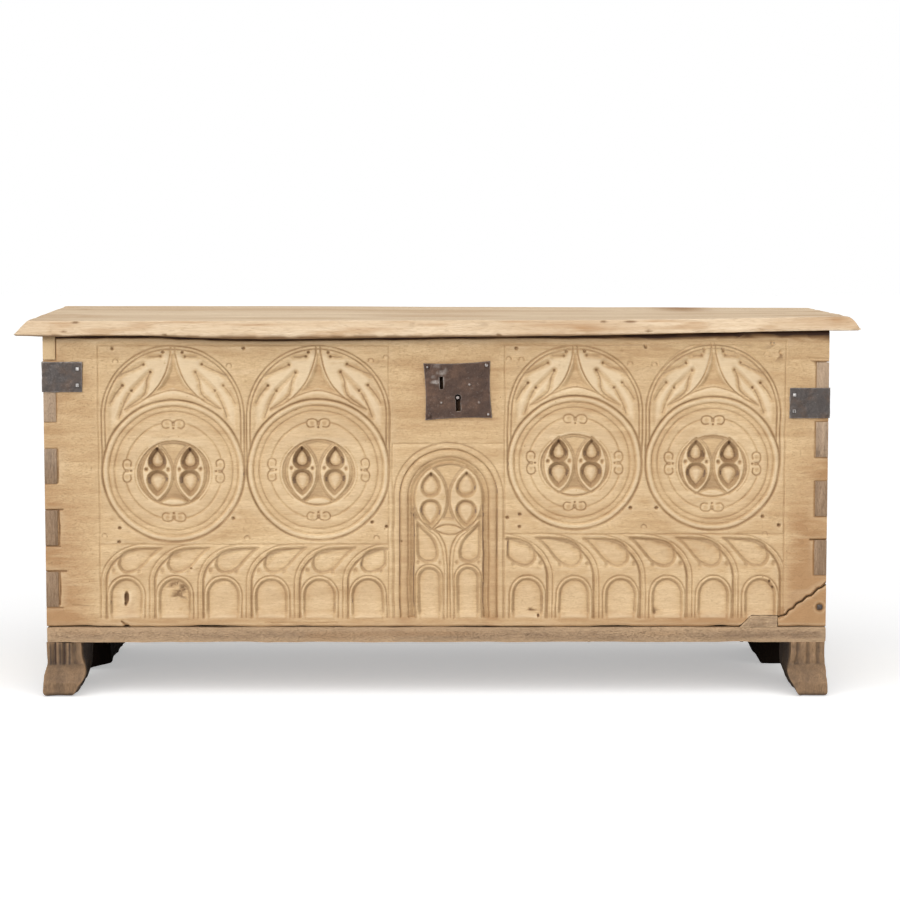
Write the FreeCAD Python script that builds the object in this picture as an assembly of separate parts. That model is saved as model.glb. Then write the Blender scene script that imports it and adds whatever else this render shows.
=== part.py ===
"""Dovetailed oak coffer chest with a carved tracery front, a moulded lid on strap hinges and forged irons.

Millimetres, +Z up. The front faces -Y, and the origin is on the floor under the middle of the whole chest.
"""

import FreeCAD, Part

import math
import os

V = FreeCAD.Vector

# Case: walls, bottom and feet
case_length = 1500.0
case_depth = 530.0
wall_height = 560.0
front_thickness = 32.0
back_thickness = 28.0
side_thickness = 24.0
bottom_thickness = 29.0
plank_gap = 0.6
foot_height = 103.0

# Lid and its moulded edge
lid_thickness = 32.0
lid_front_overhang = 30.0
lid_end_overhang = 54.0
lid_moulding_width = 22.0
lid_moulding_height = 25.0
lid_moulding_swell = 3.0
lid_edge_round = 4.0

# Dovetails: the side boards carry the tails, each corner laid out by eye
tail_width = 68.0
tail_slope = 1 / 7
shortest_tail = 30.0
left_first_tail = 74.0
left_tail_pitch = 119.0
right_first_tail = 135.0
right_tail_pitch = 114.0
joint_gap = 0.2

# Front board layout: plain stiles, two carved fields and a centre panel
left_stile = 102.0
left_field = 555.0
centre_panel = 220.0
right_field = 537.0
field_top_margin = 18.0
bottom_rail = 19.0
left_arcade_height = 141.0
right_arcade_height = 159.0
arches_per_field = 6

# Carving: grooves and pockets
groove_width = 6.0
groove_depth = 3.2
line_width = 3.6
line_depth = 1.8
pocket_depth = 5.0
drop_depth = 7.0
drop_facets = 8
cutter_skin = 1.0
roundel_gap = 4.0
roundel_seat = 5.0
boss_radius = 66.0
arch_drop = 6.0
arch_tail_angle = 12.0
arcade_rib_radius = 74.0
arcade_rib_inset = 3.5
lancet_width = 56.0
lancet_height = 78.0
mouchette_radius = 15.0
mouchette_length = 30.0
mouchette_rise = 104.0
mouchette_lean = 6.0
mouchette_angle = 20.0

# The pair of drop pockets that fills each roundel's boss and the head of the window
drop_spacing = 32.0
upper_drop_radius = 14.5
upper_drop_length = 23.0
upper_drop_rise = 26.0
lower_drop_radius = 16.5
lower_drop_length = 31.0
lower_drop_fall = 14.0

# Centre window
window_half_width = 102.0
window_band = 36.0
window_spring = 235.0
window_lancet_width = 46.0
window_lancet_height = 98.0
window_lancet_spacing = 36.0
window_mid_drop_radius = 18.0
window_mid_drop_length = 42.0
window_mid_drop_rise = 129.0
window_head_rise = 230.0

# Broken lower right corner of the front board, nailed back on, and the patch beside it
break_width = 92.0
break_height = 86.0
break_knee_width = 46.0
break_knee_height = 52.0
break_heel_width = 74.0
break_heel_height = 29.0
break_step_height = 20.0
break_gap = 1.2
break_nail_height = 39.0
patch_length = 72.0
patch_height = 22.0
patch_depth = 14.0
patch_slant = 21.0

# Front feet: fluted above, with a rounded toe below
front_foot_width = 66.0
front_foot_length = 168.0
foot_toe_reach = 20.0
foot_toe_height = 60.0
foot_toe_bluff = 27.0
foot_toe_swell = 2.5
foot_flare = 7.0
foot_flare_swell = 1.0
foot_round = 10.0
flute_radius = 4.5
flute_depth = 3.2
flute_pitch = 19.0
flute_count = 3

# Rear feet: plain blocks, each hewn to its own shape
left_rear_length = 258.0
left_rear_width = 87.0
left_rear_sole = 38.0
left_rear_lift = 15.0
right_rear_length = 192.0
right_rear_width = 138.0
right_rear_sole = 81.0

# Strap hinges
hinge_offset = 450.0
hinge_width = 42.0
hinge_iron = 3.0
strap_length = 320.0
strap_end_width = 26.0
strap_nail_count = 4
leaf_length = 130.0
knuckle_radius = 7.0
knuckle_gap = 0.5
knuckle_stand_off = 0.3
hinge_pin_radius = 4.0
hinge_pin_clearance = 0.08
hinge_pin_head = 10.0
hinge_pin_head_height = 3.0
inlet_gap = 0.3

# Corner irons
corner_iron = 2.5
corner_iron_width = 58.0
corner_iron_front_reach = 75.0
corner_iron_side_reach = 140.0
left_corner_iron_drop = 77.0
right_corner_iron_drop = 127.0
corner_nail_inset = 9.0
corner_nail_spacing = 31.0

# Lock plate and works
lock_offset = 41.0
lock_drop = 103.0
lock_plate_width = 128.0
lock_plate_height = 109.0
lock_plate_iron = 2.5
lock_plate_hollow = 2.6
lock_nail_inset = 7.5
mortise_width = 94.0
mortise_height = 86.0
mortise_depth = 22.0
keyhole_drop = 13.4
keyhole_radius = 6.0
keyhole_slot_width = 9.0
keyhole_slot_length = 26.0
drill_pin_radius = 2.7
drill_pin_clearance = 0.05
drill_pin_show = 1.0
hasp_slot_offset = 30.5
hasp_slot_rise = 15.7
hasp_slot_width = 6.5
hasp_slot_height = 24.0
bolt_length = 70.0
bolt_throw = 14.0
bolt_height = 14.0
bolt_iron = 5.0
bolt_set_back = 4.0
bolt_reach_gap = 3.2
talon_width = 9.0
talon_depth = 4.0
guide_iron = 3.0
guide_width = 6.0
guide_clearance = 0.3
guide_inset = 9.0
guide_hold = 1.0
bridge_half_span = 34.0
bridge_height = 12.0
bridge_iron = 3.0
bridge_set_back = 16.0
spring_iron = 1.2
spring_width = 4.0
spring_length = 34.0
spring_rise = 14.0
spring_foot = 5.0

# Forged nails: square tapering shank under a low faceted head
nail_head = 10.0
nail_head_height = 2.4
nail_crown = 4.0
nail_shank = 4.0
nail_tip = 1.6
small_nail_length = 22.0
long_nail_length = 62.0
bottom_nail_count = 5
wall_nail_clear = 22.0
foot_nail_inset = 40.0
nail_edge_room = 10.0

# Places that follow from the sizes above
knuckle_reach = knuckle_stand_off + 2 * knuckle_radius
overall_depth = lid_front_overhang + case_depth + knuckle_reach
front_y = -overall_depth / 2 + lid_front_overhang
back_y = front_y + case_depth
half_length = case_length / 2
base_z = foot_height
floor_z = base_z + bottom_thickness
rim_z = floor_z + wall_height
lid_top_z = rim_z + lid_thickness
hinge_axis_y = back_y + knuckle_stand_off + knuckle_radius
hinge_axis_z = rim_z + hinge_iron - knuckle_radius
lock_x = lock_offset
lock_z = rim_z - lock_drop

LEFT, RIGHT = -1, 1
FRONTWARD, BACKWARD = V(0, -1, 0), V(0, 1, 0)
UPWARD, DOWNWARD = V(0, 0, 1), V(0, 0, -1)


def box(x, y, z):
    """A block between two limits on each axis."""
    return Part.makeBox(x[1] - x[0], y[1] - y[0], z[1] - z[0], V(x[0], y[0], z[0]))


def polygon(points):
    return Part.makePolygon(list(points) + [points[0]])


def prism(points, sweep):
    """A flat outline pushed along a vector."""
    return Part.Face(polygon(points)).extrude(sweep)


def line(start, end):
    return Part.LineSegment(start, end).toShape()


def arc(start, middle, end):
    return Part.Arc(start, middle, end).toShape()


def bowed(start, end, swell):
    """An arc whose middle stands off the straight line by the vector swell."""
    return arc(start, (start + end) * 0.5 + swell, end)


def rounded_corner(corner, first, second, radius):
    """A quarter round that leaves the corner's edges at radius along two square unit vectors."""
    middle = corner + (first + second) * (radius * (1 - math.sqrt(0.5)))
    return arc(corner + first * radius, middle, corner + second * radius)


def pushed(edges, sweep):
    """A closed outline of lines and arcs pushed along a vector."""
    return Part.Face(Part.Wire(edges)).extrude(sweep)


def solid_of(faces):
    """A solid closed by flat faces, each given as its corners."""
    return Part.Solid(Part.Shell([Part.Face(polygon(corners)) for corners in faces]))


def square_taper(low_side, low_z, high_side, high_z):
    """A square bar on the Z axis that tapers from one side length to another."""
    low, high = [
        [V(x * side / 2, y * side / 2, z) for x, y in ((-1, -1), (1, -1), (1, 1), (-1, 1))]
        for side, z in ((low_side, low_z), (high_side, high_z))
    ]
    sides = [[low[i - 1], low[i], high[i], high[i - 1]] for i in range(4)]
    return solid_of([low, high] + sides)


def nail(place, outward, length):
    """A forged nail: place is on the surface under its head, outward the way that the head faces."""
    shank = square_taper(nail_tip, -length, nail_shank, 0)
    head = square_taper(nail_head, 0, nail_crown, nail_head_height)
    made = shank.fuse(head)
    made.Placement = FreeCAD.Placement(place, FreeCAD.Rotation(UPWARD, outward))
    return made


def spaced(low, high, count):
    """Evenly spaced places from low to high."""
    return [low + (high - low) * i / (count - 1) for i in range(count)]


def group(shapes):
    """Like pieces that share a node, each still a solid of its own."""
    return Part.makeCompound([solid for shape in shapes for solid in shape.Solids])


# Dovetailed walls


def tail_spans(side):
    """Lower and upper edge of each tail above the wall's foot, the last one cut off at the wall's top."""
    first = left_first_tail if side == LEFT else right_first_tail
    pitch = left_tail_pitch if side == LEFT else right_tail_pitch
    spans = []
    low = first - tail_width / 2
    while low < wall_height - shortest_tail:
        spans.append((max(low, 0.0), min(low + tail_width, wall_height)))
        low += pitch
    return spans


def tail(side, end_y, root_y, span, grow=0.0):
    """One tail of a side board. It is widest at its end, and grow makes the socket that takes it."""
    taper = abs(root_y - end_y) * tail_slope
    low, high = span
    root_low = low + taper if low > 0 else low
    root_high = high - taper if high < wall_height else high
    corners = [
        (end_y, low - grow),
        (end_y, high + grow),
        (root_y, root_high + grow),
        (root_y, root_low - grow),
    ]
    outer_x = side * half_length
    return prism(
        [V(outer_x, y, floor_z + z) for y, z in corners],
        V(-side * (side_thickness + grow), 0, 0),
    )


def corner_tails(side, grow=0.0):
    """The tails of one side board, front and back."""
    spans = tail_spans(side)
    front = [tail(side, front_y, front_y + front_thickness, span, grow) for span in spans]
    back = [tail(side, back_y, back_y - back_thickness, span, grow) for span in spans]
    return front, back


def side_board(side):
    edges = sorted([side * half_length, side * (half_length - side_thickness)])
    panel = box(edges, (front_y + front_thickness, back_y - back_thickness), (floor_z, rim_z))
    front, back = corner_tails(side)
    return panel.fuse(front + back).removeSplitter()


def back_board():
    board = box((-half_length, half_length), (back_y - back_thickness, back_y), (floor_z, rim_z))
    sockets = [socket for side in (LEFT, RIGHT) for socket in corner_tails(side, joint_gap)[1]]
    return board.cut(sockets)


# Carving of the front


def on_front(x, z, y=front_y - cutter_skin):
    return V(x, y, z)


def groove_profile(x, z, across, width, depth):
    """The V section of a groove at a point of its path. Across is a unit (x, z) pair square to the path."""
    half = width / 2 * (depth + cutter_skin) / depth
    return polygon([
        on_front(x - across[0] * half, z - across[1] * half),
        on_front(x + across[0] * half, z + across[1] * half),
        on_front(x, z, front_y + depth),
    ])


def ring_groove(x, z, radius, width=groove_width, depth=groove_depth, start=0.0, sweep=360.0):
    """A V groove round a centre, from start through sweep degrees, anticlockwise as seen from the front."""
    turn = math.radians(start)
    outward = (math.cos(turn), math.sin(turn))
    profile = groove_profile(x + radius * outward[0], z + radius * outward[1], outward, width, depth)
    return Part.Face(profile).revolve(V(x, 0, z), FRONTWARD, sweep)


def line_groove(start, end, width=line_width, depth=line_depth):
    run = (end[0] - start[0], end[1] - start[1])
    length = math.hypot(*run)
    across = (-run[1] / length, run[0] / length)
    return Part.Face(groove_profile(*start, across, width, depth)).extrude(V(run[0], 0, run[1]))


def pocket(edges, depth):
    return pushed(edges, V(0, depth + cutter_skin, 0))


def drop(x, z, radius, length, angle):
    """A chip-cut drop in flat facets, deepest at x, z in its round end, with its tip towards angle."""
    heading = math.radians(angle)
    spread = math.acos(radius / length)
    over = (drop_depth + cutter_skin) / drop_depth
    apex = V(x, front_y + drop_depth, z)

    def rim_point(reach, turn):
        return on_front(
            x + reach * over * math.cos(heading + turn),
            z + reach * over * math.sin(heading + turn),
        )

    turns = spaced(spread, 2 * math.pi - spread, drop_facets)
    rim = [rim_point(length, 0)] + [rim_point(radius, turn) for turn in turns]
    return solid_of([rim] + [[rim[i - 1], rim[i], apex] for i in range(len(rim))])


def lancet(x, foot_z, width, height):
    """A round-headed pocket standing on foot_z."""
    half = width / 2
    spring_z = foot_z + height - half
    outline = [
        line(on_front(x - half, foot_z), on_front(x + half, foot_z)),
        line(on_front(x + half, foot_z), on_front(x + half, spring_z)),
        arc(on_front(x + half, spring_z), on_front(x, foot_z + height), on_front(x - half, spring_z)),
        line(on_front(x - half, spring_z), on_front(x - half, foot_z)),
    ]
    return pocket(outline, pocket_depth)


def drop_pairs(x, z):
    """Two upright pairs of drops side by side, tips up above and down below."""
    drops = []
    for side in (LEFT, RIGHT):
        pair_x = x + side * drop_spacing
        drops.append(drop(pair_x, z + upper_drop_rise, upper_drop_radius, upper_drop_length, 90))
        drops.append(drop(pair_x, z - lower_drop_fall, lower_drop_radius, lower_drop_length, -90))
    return drops


def roundel(x, z, radius):
    """A ring round a boss that holds two pairs of drops."""
    return [ring_groove(x, z, radius), ring_groove(x, z, boss_radius)] + drop_pairs(x, z)


def arcade_bay(x, foot_z, top_z, pitch, lean):
    """One bay: a rib that rises beside the bay and bends over to the top line, a lancet and a mouchette."""
    rib_x = x - lean * (pitch / 2 - arcade_rib_inset)
    spring_z = top_z - arcade_rib_radius - groove_width
    centre_x = rib_x + lean * arcade_rib_radius
    start = 90.0 if lean > 0 else 0.0
    rib = ring_groove(centre_x, spring_z, arcade_rib_radius, start=start, sweep=90.0)
    post = line_groove((rib_x, foot_z), (rib_x, spring_z), groove_width, groove_depth)
    tip_angle = mouchette_angle if lean > 0 else 180.0 - mouchette_angle
    mouchette_x = x - lean * mouchette_lean
    return [
        rib.fuse(post),
        lancet(x + lean * arcade_rib_inset, foot_z, lancet_width, lancet_height),
        drop(mouchette_x, foot_z + mouchette_rise, mouchette_radius, mouchette_length, tip_angle),
    ]


def carved_field(low_x, width, arcade_height, lean):
    """Two roundels under round arches, over an arcade whose ribs lean towards the middle of the chest."""
    top_z = rim_z - field_top_margin
    foot_z = floor_z + bottom_rail
    arcade_z = foot_z + arcade_height
    high_x = low_x + width
    radius = width / 4 - roundel_gap
    cuts = [
        line_groove((low_x, foot_z), (low_x, top_z)),
        line_groove((high_x, foot_z), (high_x, top_z)),
        line_groove((low_x + line_width, top_z), (high_x - line_width, top_z)),
        line_groove((low_x + line_width, arcade_z), (high_x - line_width, arcade_z)),
    ]
    for quarter in (0.25, 0.75):
        x = low_x + width * quarter
        cuts += roundel(x, arcade_z + roundel_seat + radius, radius)
        cuts.append(ring_groove(
            x, top_z - arch_drop - radius, radius,
            start=-arch_tail_angle, sweep=180.0 + 2 * arch_tail_angle,
        ))
    pitch = width / arches_per_field
    for bay in range(arches_per_field):
        cuts += arcade_bay(low_x + pitch * (bay + 0.5), foot_z, arcade_z, pitch, lean)
    return cuts


def window_arch(x, foot_z, half_width):
    spring_z = foot_z + window_spring
    head = ring_groove(x, spring_z, half_width, start=0.0, sweep=180.0)
    jambs = []
    for jamb_x in (x - half_width, x + half_width):
        jambs.append(line_groove((jamb_x, foot_z), (jamb_x, spring_z), groove_width, groove_depth))
    return head.fuse(jambs)


def centre_window(x):
    foot_z = floor_z + bottom_rail
    cuts = [
        window_arch(x, foot_z, window_half_width),
        window_arch(x, foot_z, window_half_width - window_band),
    ]
    for side in (LEFT, RIGHT):
        bay_x = x + side * window_lancet_spacing
        cuts.append(lancet(bay_x, foot_z, window_lancet_width, window_lancet_height))
        cuts.append(drop(
            bay_x, foot_z + window_mid_drop_rise, window_mid_drop_radius, window_mid_drop_length, 90,
        ))
    return cuts + drop_pairs(x, foot_z + window_head_rise)


def carving():
    left_x = -half_length + left_stile
    centre_x = left_x + left_field
    right_x = centre_x + centre_panel
    return (
        carved_field(left_x, left_field, left_arcade_height, lean=1)
        + centre_window(centre_x + centre_panel / 2)
        + carved_field(right_x, right_field, right_arcade_height, lean=-1)
    )


def lock_mortise():
    half = mortise_width / 2
    return box(
        (lock_x - half, lock_x + half),
        (front_y - cutter_skin, front_y + mortise_depth),
        (lock_z - mortise_height / 2, lock_z + mortise_height / 2),
    )


def front_blank():
    """The whole front board before its corner broke off."""
    board = box((-half_length, half_length), (front_y, front_y + front_thickness), (floor_z, rim_z))
    sockets = [socket for side in (LEFT, RIGHT) for socket in corner_tails(side, joint_gap)[0]]
    return board.cut(sockets + carving() + [lock_mortise()])


def break_prism(gap):
    """The space of the broken corner, right through the board. The gap draws the break line in."""
    reach = cutter_skin
    corners = [
        (reach, -reach),
        (reach, break_height - gap),
        (-break_knee_width, break_knee_height - gap),
        (-break_heel_width, break_heel_height - gap),
        (-break_width + gap, break_step_height - gap),
        (-break_width + gap, -reach),
    ]
    points = [V(half_length + x, front_y - reach, floor_z + z) for x, z in corners]
    return prism(points, V(0, front_thickness + 2 * reach, 0))


def rail_patch():
    """A short slip of oak let into the rail beside the broken corner, with slanting ends."""
    high_x = half_length - break_width - break_gap
    low_x = high_x - patch_length
    corners = [(low_x, 0), (high_x, 0), (high_x, patch_height), (low_x + patch_slant, patch_height)]
    return prism([V(x, front_y, floor_z + z) for x, z in corners], V(0, patch_depth, 0))


# Bottom and feet


def bottom_planks():
    """Two planks under the walls, whose front edge shows as the strip under the carving."""
    middle_y = (front_y + back_y) / 2
    z = (base_z, floor_z)
    x = (-half_length, half_length)
    front = box(x, (front_y, middle_y - plank_gap / 2), z)
    rear = box(x, (middle_y + plank_gap / 2, back_y), z)
    return front, rear


def front_foot_profile(side):
    """The foot seen from the front: flush with the case above, flared and rounded at the toe."""
    outer_x = side * half_length
    flare_x = outer_x + side * foot_flare
    inner_x = outer_x - side * front_foot_width
    outward, inward = V(side, 0, 0), V(-side, 0, 0)

    def at(x, z):
        return V(x, front_y - foot_toe_reach, z)

    return [
        line(at(inner_x, base_z), at(outer_x, base_z)),
        line(at(outer_x, base_z), at(outer_x, foot_toe_height)),
        bowed(at(outer_x, foot_toe_height), at(flare_x, foot_round), outward * foot_flare_swell),
        rounded_corner(at(flare_x, 0), UPWARD, inward, foot_round),
        line(at(flare_x - side * foot_round, 0), at(inner_x + side * foot_round, 0)),
        rounded_corner(at(inner_x, 0), outward, UPWARD, foot_round),
        line(at(inner_x, foot_round), at(inner_x, base_z)),
    ]


def foot_side_profile(x):
    """The foot seen from its side: an upright fluted face above and a toe that swells forwards below."""
    toe_y = front_y - foot_toe_reach
    rear_y = front_y + front_foot_length

    def at(y, z):
        return V(x, y, z)

    return [
        line(at(rear_y, 0), at(rear_y, base_z)),
        line(at(rear_y, base_z), at(front_y, base_z)),
        line(at(front_y, base_z), at(front_y, foot_toe_height)),
        bowed(at(front_y, foot_toe_height), at(toe_y, foot_toe_bluff), FRONTWARD * foot_toe_swell),
        line(at(toe_y, foot_toe_bluff), at(toe_y, foot_round)),
        rounded_corner(at(toe_y, 0), UPWARD, BACKWARD, foot_round),
        line(at(toe_y + foot_round, 0), at(rear_y, 0)),
    ]


def front_foot(side):
    seen_from_front = pushed(front_foot_profile(side), V(0, front_foot_length + foot_toe_reach, 0))
    inner_x = side * (half_length - front_foot_width)
    outer_x = side * (half_length + foot_flare)
    seen_from_side = pushed(foot_side_profile(min(inner_x, outer_x)), V(abs(outer_x - inner_x), 0, 0))
    foot = seen_from_front.common(seen_from_side)
    middle_x = side * (half_length - front_foot_width / 2)
    flute_y = front_y + flute_depth - flute_radius
    flutes = [
        Part.makeCylinder(
            flute_radius,
            base_z - foot_toe_height,
            V(middle_x + flute_pitch * (i - (flute_count - 1) / 2), flute_y, foot_toe_height),
            UPWARD,
        )
        for i in range(flute_count)
    ]
    return foot.cut(flutes)


def rear_foot_length(side):
    return left_rear_length if side == LEFT else right_rear_length


def rear_foot(side):
    """A plain block under a rear corner: the left one's sole is lifted inside, the right one is raked."""
    outer_x = side * half_length
    length = rear_foot_length(side)
    if side == LEFT:
        inner = [(left_rear_sole, 0), (left_rear_width, left_rear_lift), (left_rear_width, base_z)]
    else:
        inner = [(right_rear_sole, 0), (right_rear_width, base_z)]
    corners = [(0, 0)] + inner + [(0, base_z)]
    points = [V(outer_x - side * x, back_y - length, z) for x, z in corners]
    return prism(points, V(0, length, 0))


# Lid and hinges


def moulded_edge(tip, inward):
    """A lid edge at its tip, from the flat top down the swelling moulding to the flat underside."""
    level = V(tip.x, tip.y, 0)
    top = level + inward * lid_moulding_width + UPWARD * lid_top_z
    shoulder = level + UPWARD * (lid_top_z - lid_moulding_height)
    outward_swell = (UPWARD - inward) * (lid_moulding_swell * math.sqrt(0.5))
    return [
        bowed(top, shoulder, outward_swell),
        line(shoulder, level + UPWARD * (rim_z + lid_edge_round)),
        rounded_corner(level + UPWARD * rim_z, UPWARD, inward, lid_edge_round),
    ]


def lid_blank():
    """The lid board: its front and end mouldings meet in mitres, and its back edge is square."""
    half = half_length + lid_end_overhang
    nose_y = front_y - lid_front_overhang

    def across(y, z):
        return V(-half, y, z)

    def along(x, z):
        return V(x, nose_y, z)

    front_section = moulded_edge(across(nose_y, 0), BACKWARD) + [
        line(across(nose_y + lid_edge_round, rim_z), across(back_y, rim_z)),
        line(across(back_y, rim_z), across(back_y, lid_top_z)),
        line(across(back_y, lid_top_z), across(nose_y + lid_moulding_width, lid_top_z)),
    ]
    end_section = moulded_edge(along(half, 0), V(-1, 0, 0)) + moulded_edge(along(-half, 0), V(1, 0, 0)) + [
        line(along(half - lid_edge_round, rim_z), along(-half + lid_edge_round, rim_z)),
        line(along(-half + lid_moulding_width, lid_top_z), along(half - lid_moulding_width, lid_top_z)),
    ]
    front_sweep = pushed(front_section, V(2 * half, 0, 0))
    end_sweep = pushed(Part.__sortEdges__(end_section), V(0, back_y - nose_y, 0))
    return front_sweep.common(end_sweep)


def strap_outline(x, grow=0.0):
    """The lid strap's plan, tapering to a rounded end. Grow makes the recess that it is let into."""
    half = hinge_width / 2 + grow
    end_half = strap_end_width / 2 + grow
    end_y = back_y - strap_length + strap_end_width / 2

    def at(across, y):
        return V(x + across, y, rim_z)

    return [
        line(at(-half, back_y), at(half, back_y)),
        line(at(half, back_y), at(end_half, end_y)),
        arc(at(end_half, end_y), at(0, end_y - end_half), at(-end_half, end_y)),
        line(at(-end_half, end_y), at(-half, back_y)),
    ]


def knuckle_width():
    return (hinge_width - 2 * knuckle_gap) / 3


def hinge_rod(x, radius, width):
    """A round bar on the hinge axis with its middle at x."""
    return Part.makeCylinder(radius, width, V(x - width / 2, hinge_axis_y, hinge_axis_z), V(1, 0, 0))


def knuckle(x):
    """One rolled knuckle, before it is bored."""
    return hinge_rod(x, knuckle_radius, knuckle_width())


def knuckle_bore(x):
    return hinge_rod(x, hinge_pin_radius + hinge_pin_clearance, hinge_width)


def lid_strap(x):
    """The strap under the lid, narrowed behind the lid to a tongue that rolls over the hinge pin."""
    plate = pushed(strap_outline(x), V(0, 0, hinge_iron))
    half = knuckle_width() / 2
    tongue = box((x - half, x + half), (back_y, hinge_axis_y), (rim_z, rim_z + hinge_iron))
    return plate.fuse([tongue, knuckle(x)]).removeSplitter().cut(knuckle_bore(x))


def back_leaf(x):
    """The leaf on the outside of the back, with a knuckle on each side of the strap's own."""
    half = hinge_width / 2
    foot_z = hinge_axis_z - leaf_length
    plate = box((x - half, x + half), (back_y, back_y + hinge_iron), (foot_z, hinge_axis_z))
    shift = knuckle_width() + knuckle_gap
    knuckles = [knuckle(x + side * shift) for side in (LEFT, RIGHT)]
    notch_half = knuckle_width() / 2 + knuckle_gap
    notch = box(
        (x - notch_half, x + notch_half),
        (back_y - cutter_skin, back_y + 2 * knuckle_reach),
        (hinge_axis_z - knuckle_radius - knuckle_gap, rim_z),
    )
    return plate.fuse(knuckles).cut([notch, knuckle_bore(x)])


def hinge_pin(x):
    """The pin through the knuckles, with a square forged head at each end."""
    half = hinge_width / 2 + knuckle_gap
    shaft = hinge_rod(x, hinge_pin_radius, 2 * half)
    reach = hinge_pin_head / 2
    heads = []
    for inner_x in (x - half - hinge_pin_head_height, x + half):
        heads.append(box(
            (inner_x, inner_x + hinge_pin_head_height),
            (hinge_axis_y - reach, hinge_axis_y + reach),
            (hinge_axis_z - reach, hinge_axis_z + reach),
        ))
    return shaft.fuse(heads)


def strap_nails(x):
    """Nails up through the strap into the lid, clear of the back board."""
    first = back_y - back_thickness - nail_head - nail_edge_room
    last = back_y - strap_length + strap_end_width / 2
    return [
        nail(V(x, y, rim_z), DOWNWARD, small_nail_length) for y in spaced(first, last, strap_nail_count)
    ]


def leaf_nails(x):
    """Nails through the leaf into the back board, in two rows."""
    across = hinge_width / 2 - nail_edge_room
    low_z = hinge_axis_z - leaf_length + nail_head / 2 + nail_edge_room
    high_z = hinge_axis_z - knuckle_radius - nail_head - nail_edge_room
    return [
        nail(V(x + side * across, back_y + hinge_iron, z), BACKWARD, small_nail_length)
        for side in (LEFT, RIGHT)
        for z in (low_z, high_z)
    ]


# Corner irons


def corner_iron_z(side):
    return rim_z - (left_corner_iron_drop if side == LEFT else right_corner_iron_drop)


def corner_strap(side):
    """An iron bent round a front corner, with the bend rounded on its outside."""
    edge_x = side * half_length
    out_x = edge_x + side * corner_iron
    out_y = front_y - corner_iron
    low_z = corner_iron_z(side) - corner_iron_width / 2
    inner_x = edge_x - side * corner_iron_front_reach
    rear_y = front_y + corner_iron_side_reach

    def at(x, y):
        return V(x, y, low_z)

    outline = [
        line(at(inner_x, out_y), at(edge_x, out_y)),
        rounded_corner(at(out_x, out_y), V(-side, 0, 0), BACKWARD, corner_iron),
        line(at(out_x, front_y), at(out_x, rear_y)),
        line(at(out_x, rear_y), at(edge_x, rear_y)),
        line(at(edge_x, rear_y), at(edge_x, front_y)),
        line(at(edge_x, front_y), at(inner_x, front_y)),
        line(at(inner_x, front_y), at(inner_x, out_y)),
    ]
    return pushed(outline, V(0, 0, corner_iron_width))


def corner_nails(side):
    """Two nails at each end of the iron."""
    nails = []
    front_x = side * (half_length - corner_iron_front_reach + corner_nail_inset)
    side_y = front_y + corner_iron_side_reach - corner_nail_inset
    side_x = side * (half_length + corner_iron)
    for rise in (-corner_nail_spacing / 2, corner_nail_spacing / 2):
        z = corner_iron_z(side) + rise
        nails.append(nail(V(front_x, front_y - corner_iron, z), FRONTWARD, small_nail_length))
        nails.append(nail(V(side_x, side_y, z), V(side, 0, 0), small_nail_length))
    return nails


# Lock


def on_plate(x, z, y=front_y - lock_plate_iron):
    """A point of the lock from its place beside and above the plate's middle."""
    return V(lock_x + x, y, lock_z + z)


def keyhole():
    """The keyhole's outline: a round eye over a slot for the key's bit."""
    half = keyhole_slot_width / 2
    eye_z = -keyhole_drop
    neck_z = eye_z - math.sqrt(keyhole_radius ** 2 - half ** 2)
    foot_z = eye_z - keyhole_slot_length
    return [
        arc(on_plate(half, neck_z), on_plate(0, eye_z + keyhole_radius), on_plate(-half, neck_z)),
        line(on_plate(-half, neck_z), on_plate(-half, foot_z)),
        line(on_plate(-half, foot_z), on_plate(half, foot_z)),
        line(on_plate(half, foot_z), on_plate(half, neck_z)),
    ]


def hasp_slot():
    half_x, half_z = hasp_slot_width / 2, hasp_slot_height / 2
    corners = [(-half_x, -half_z), (half_x, -half_z), (half_x, half_z), (-half_x, half_z)]
    return prism(
        [on_plate(x - hasp_slot_offset, z + hasp_slot_rise) for x, z in corners],
        V(0, lock_plate_iron, 0),
    )


def lock_plate():
    """The square plate with hollowed sides, a keyhole and the slot for a hasp."""
    half_x, half_z = lock_plate_width / 2, lock_plate_height / 2
    hollow = lock_plate_hollow
    outline = [
        arc(on_plate(-half_x, -half_z), on_plate(0, -half_z + hollow), on_plate(half_x, -half_z)),
        arc(on_plate(half_x, -half_z), on_plate(half_x - hollow, 0), on_plate(half_x, half_z)),
        arc(on_plate(half_x, half_z), on_plate(0, half_z - hollow), on_plate(-half_x, half_z)),
        arc(on_plate(-half_x, half_z), on_plate(-half_x + hollow, 0), on_plate(-half_x, -half_z)),
    ]
    through = V(0, lock_plate_iron, 0)
    return pushed(outline, through).cut([pushed(keyhole(), through), hasp_slot()])


def lock_plate_nails():
    x = lock_plate_width / 2 - lock_nail_inset
    z = lock_plate_height / 2 - lock_nail_inset
    corners = [(-x, -z), (x, -z), (x, z), (-x, z)]
    return [nail(on_plate(*corner), FRONTWARD, small_nail_length) for corner in corners]


def bolt_limits():
    """The bolt's near and far end and its lower and upper edge, from the plate's middle, drawn back."""
    near = -hasp_slot_offset + hasp_slot_width / 2 + bolt_reach_gap
    low = hasp_slot_rise - bolt_height / 2
    return near, near + bolt_length, low, low + bolt_height


def lock_bolt():
    """The sliding bolt, with a notch in its lower edge that the key's bit turns in."""
    near, far, low, high = bolt_limits()
    y = (front_y + bolt_set_back, front_y + bolt_set_back + bolt_iron)
    bar = box((lock_x + near, lock_x + far), y, (lock_z + low, lock_z + high))
    talon = box(
        (lock_x - talon_width / 2, lock_x + talon_width / 2),
        (y[0] - cutter_skin, y[1] + cutter_skin),
        (lock_z + low - cutter_skin, lock_z + low + talon_depth),
    )
    return bar.cut(talon)


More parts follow.
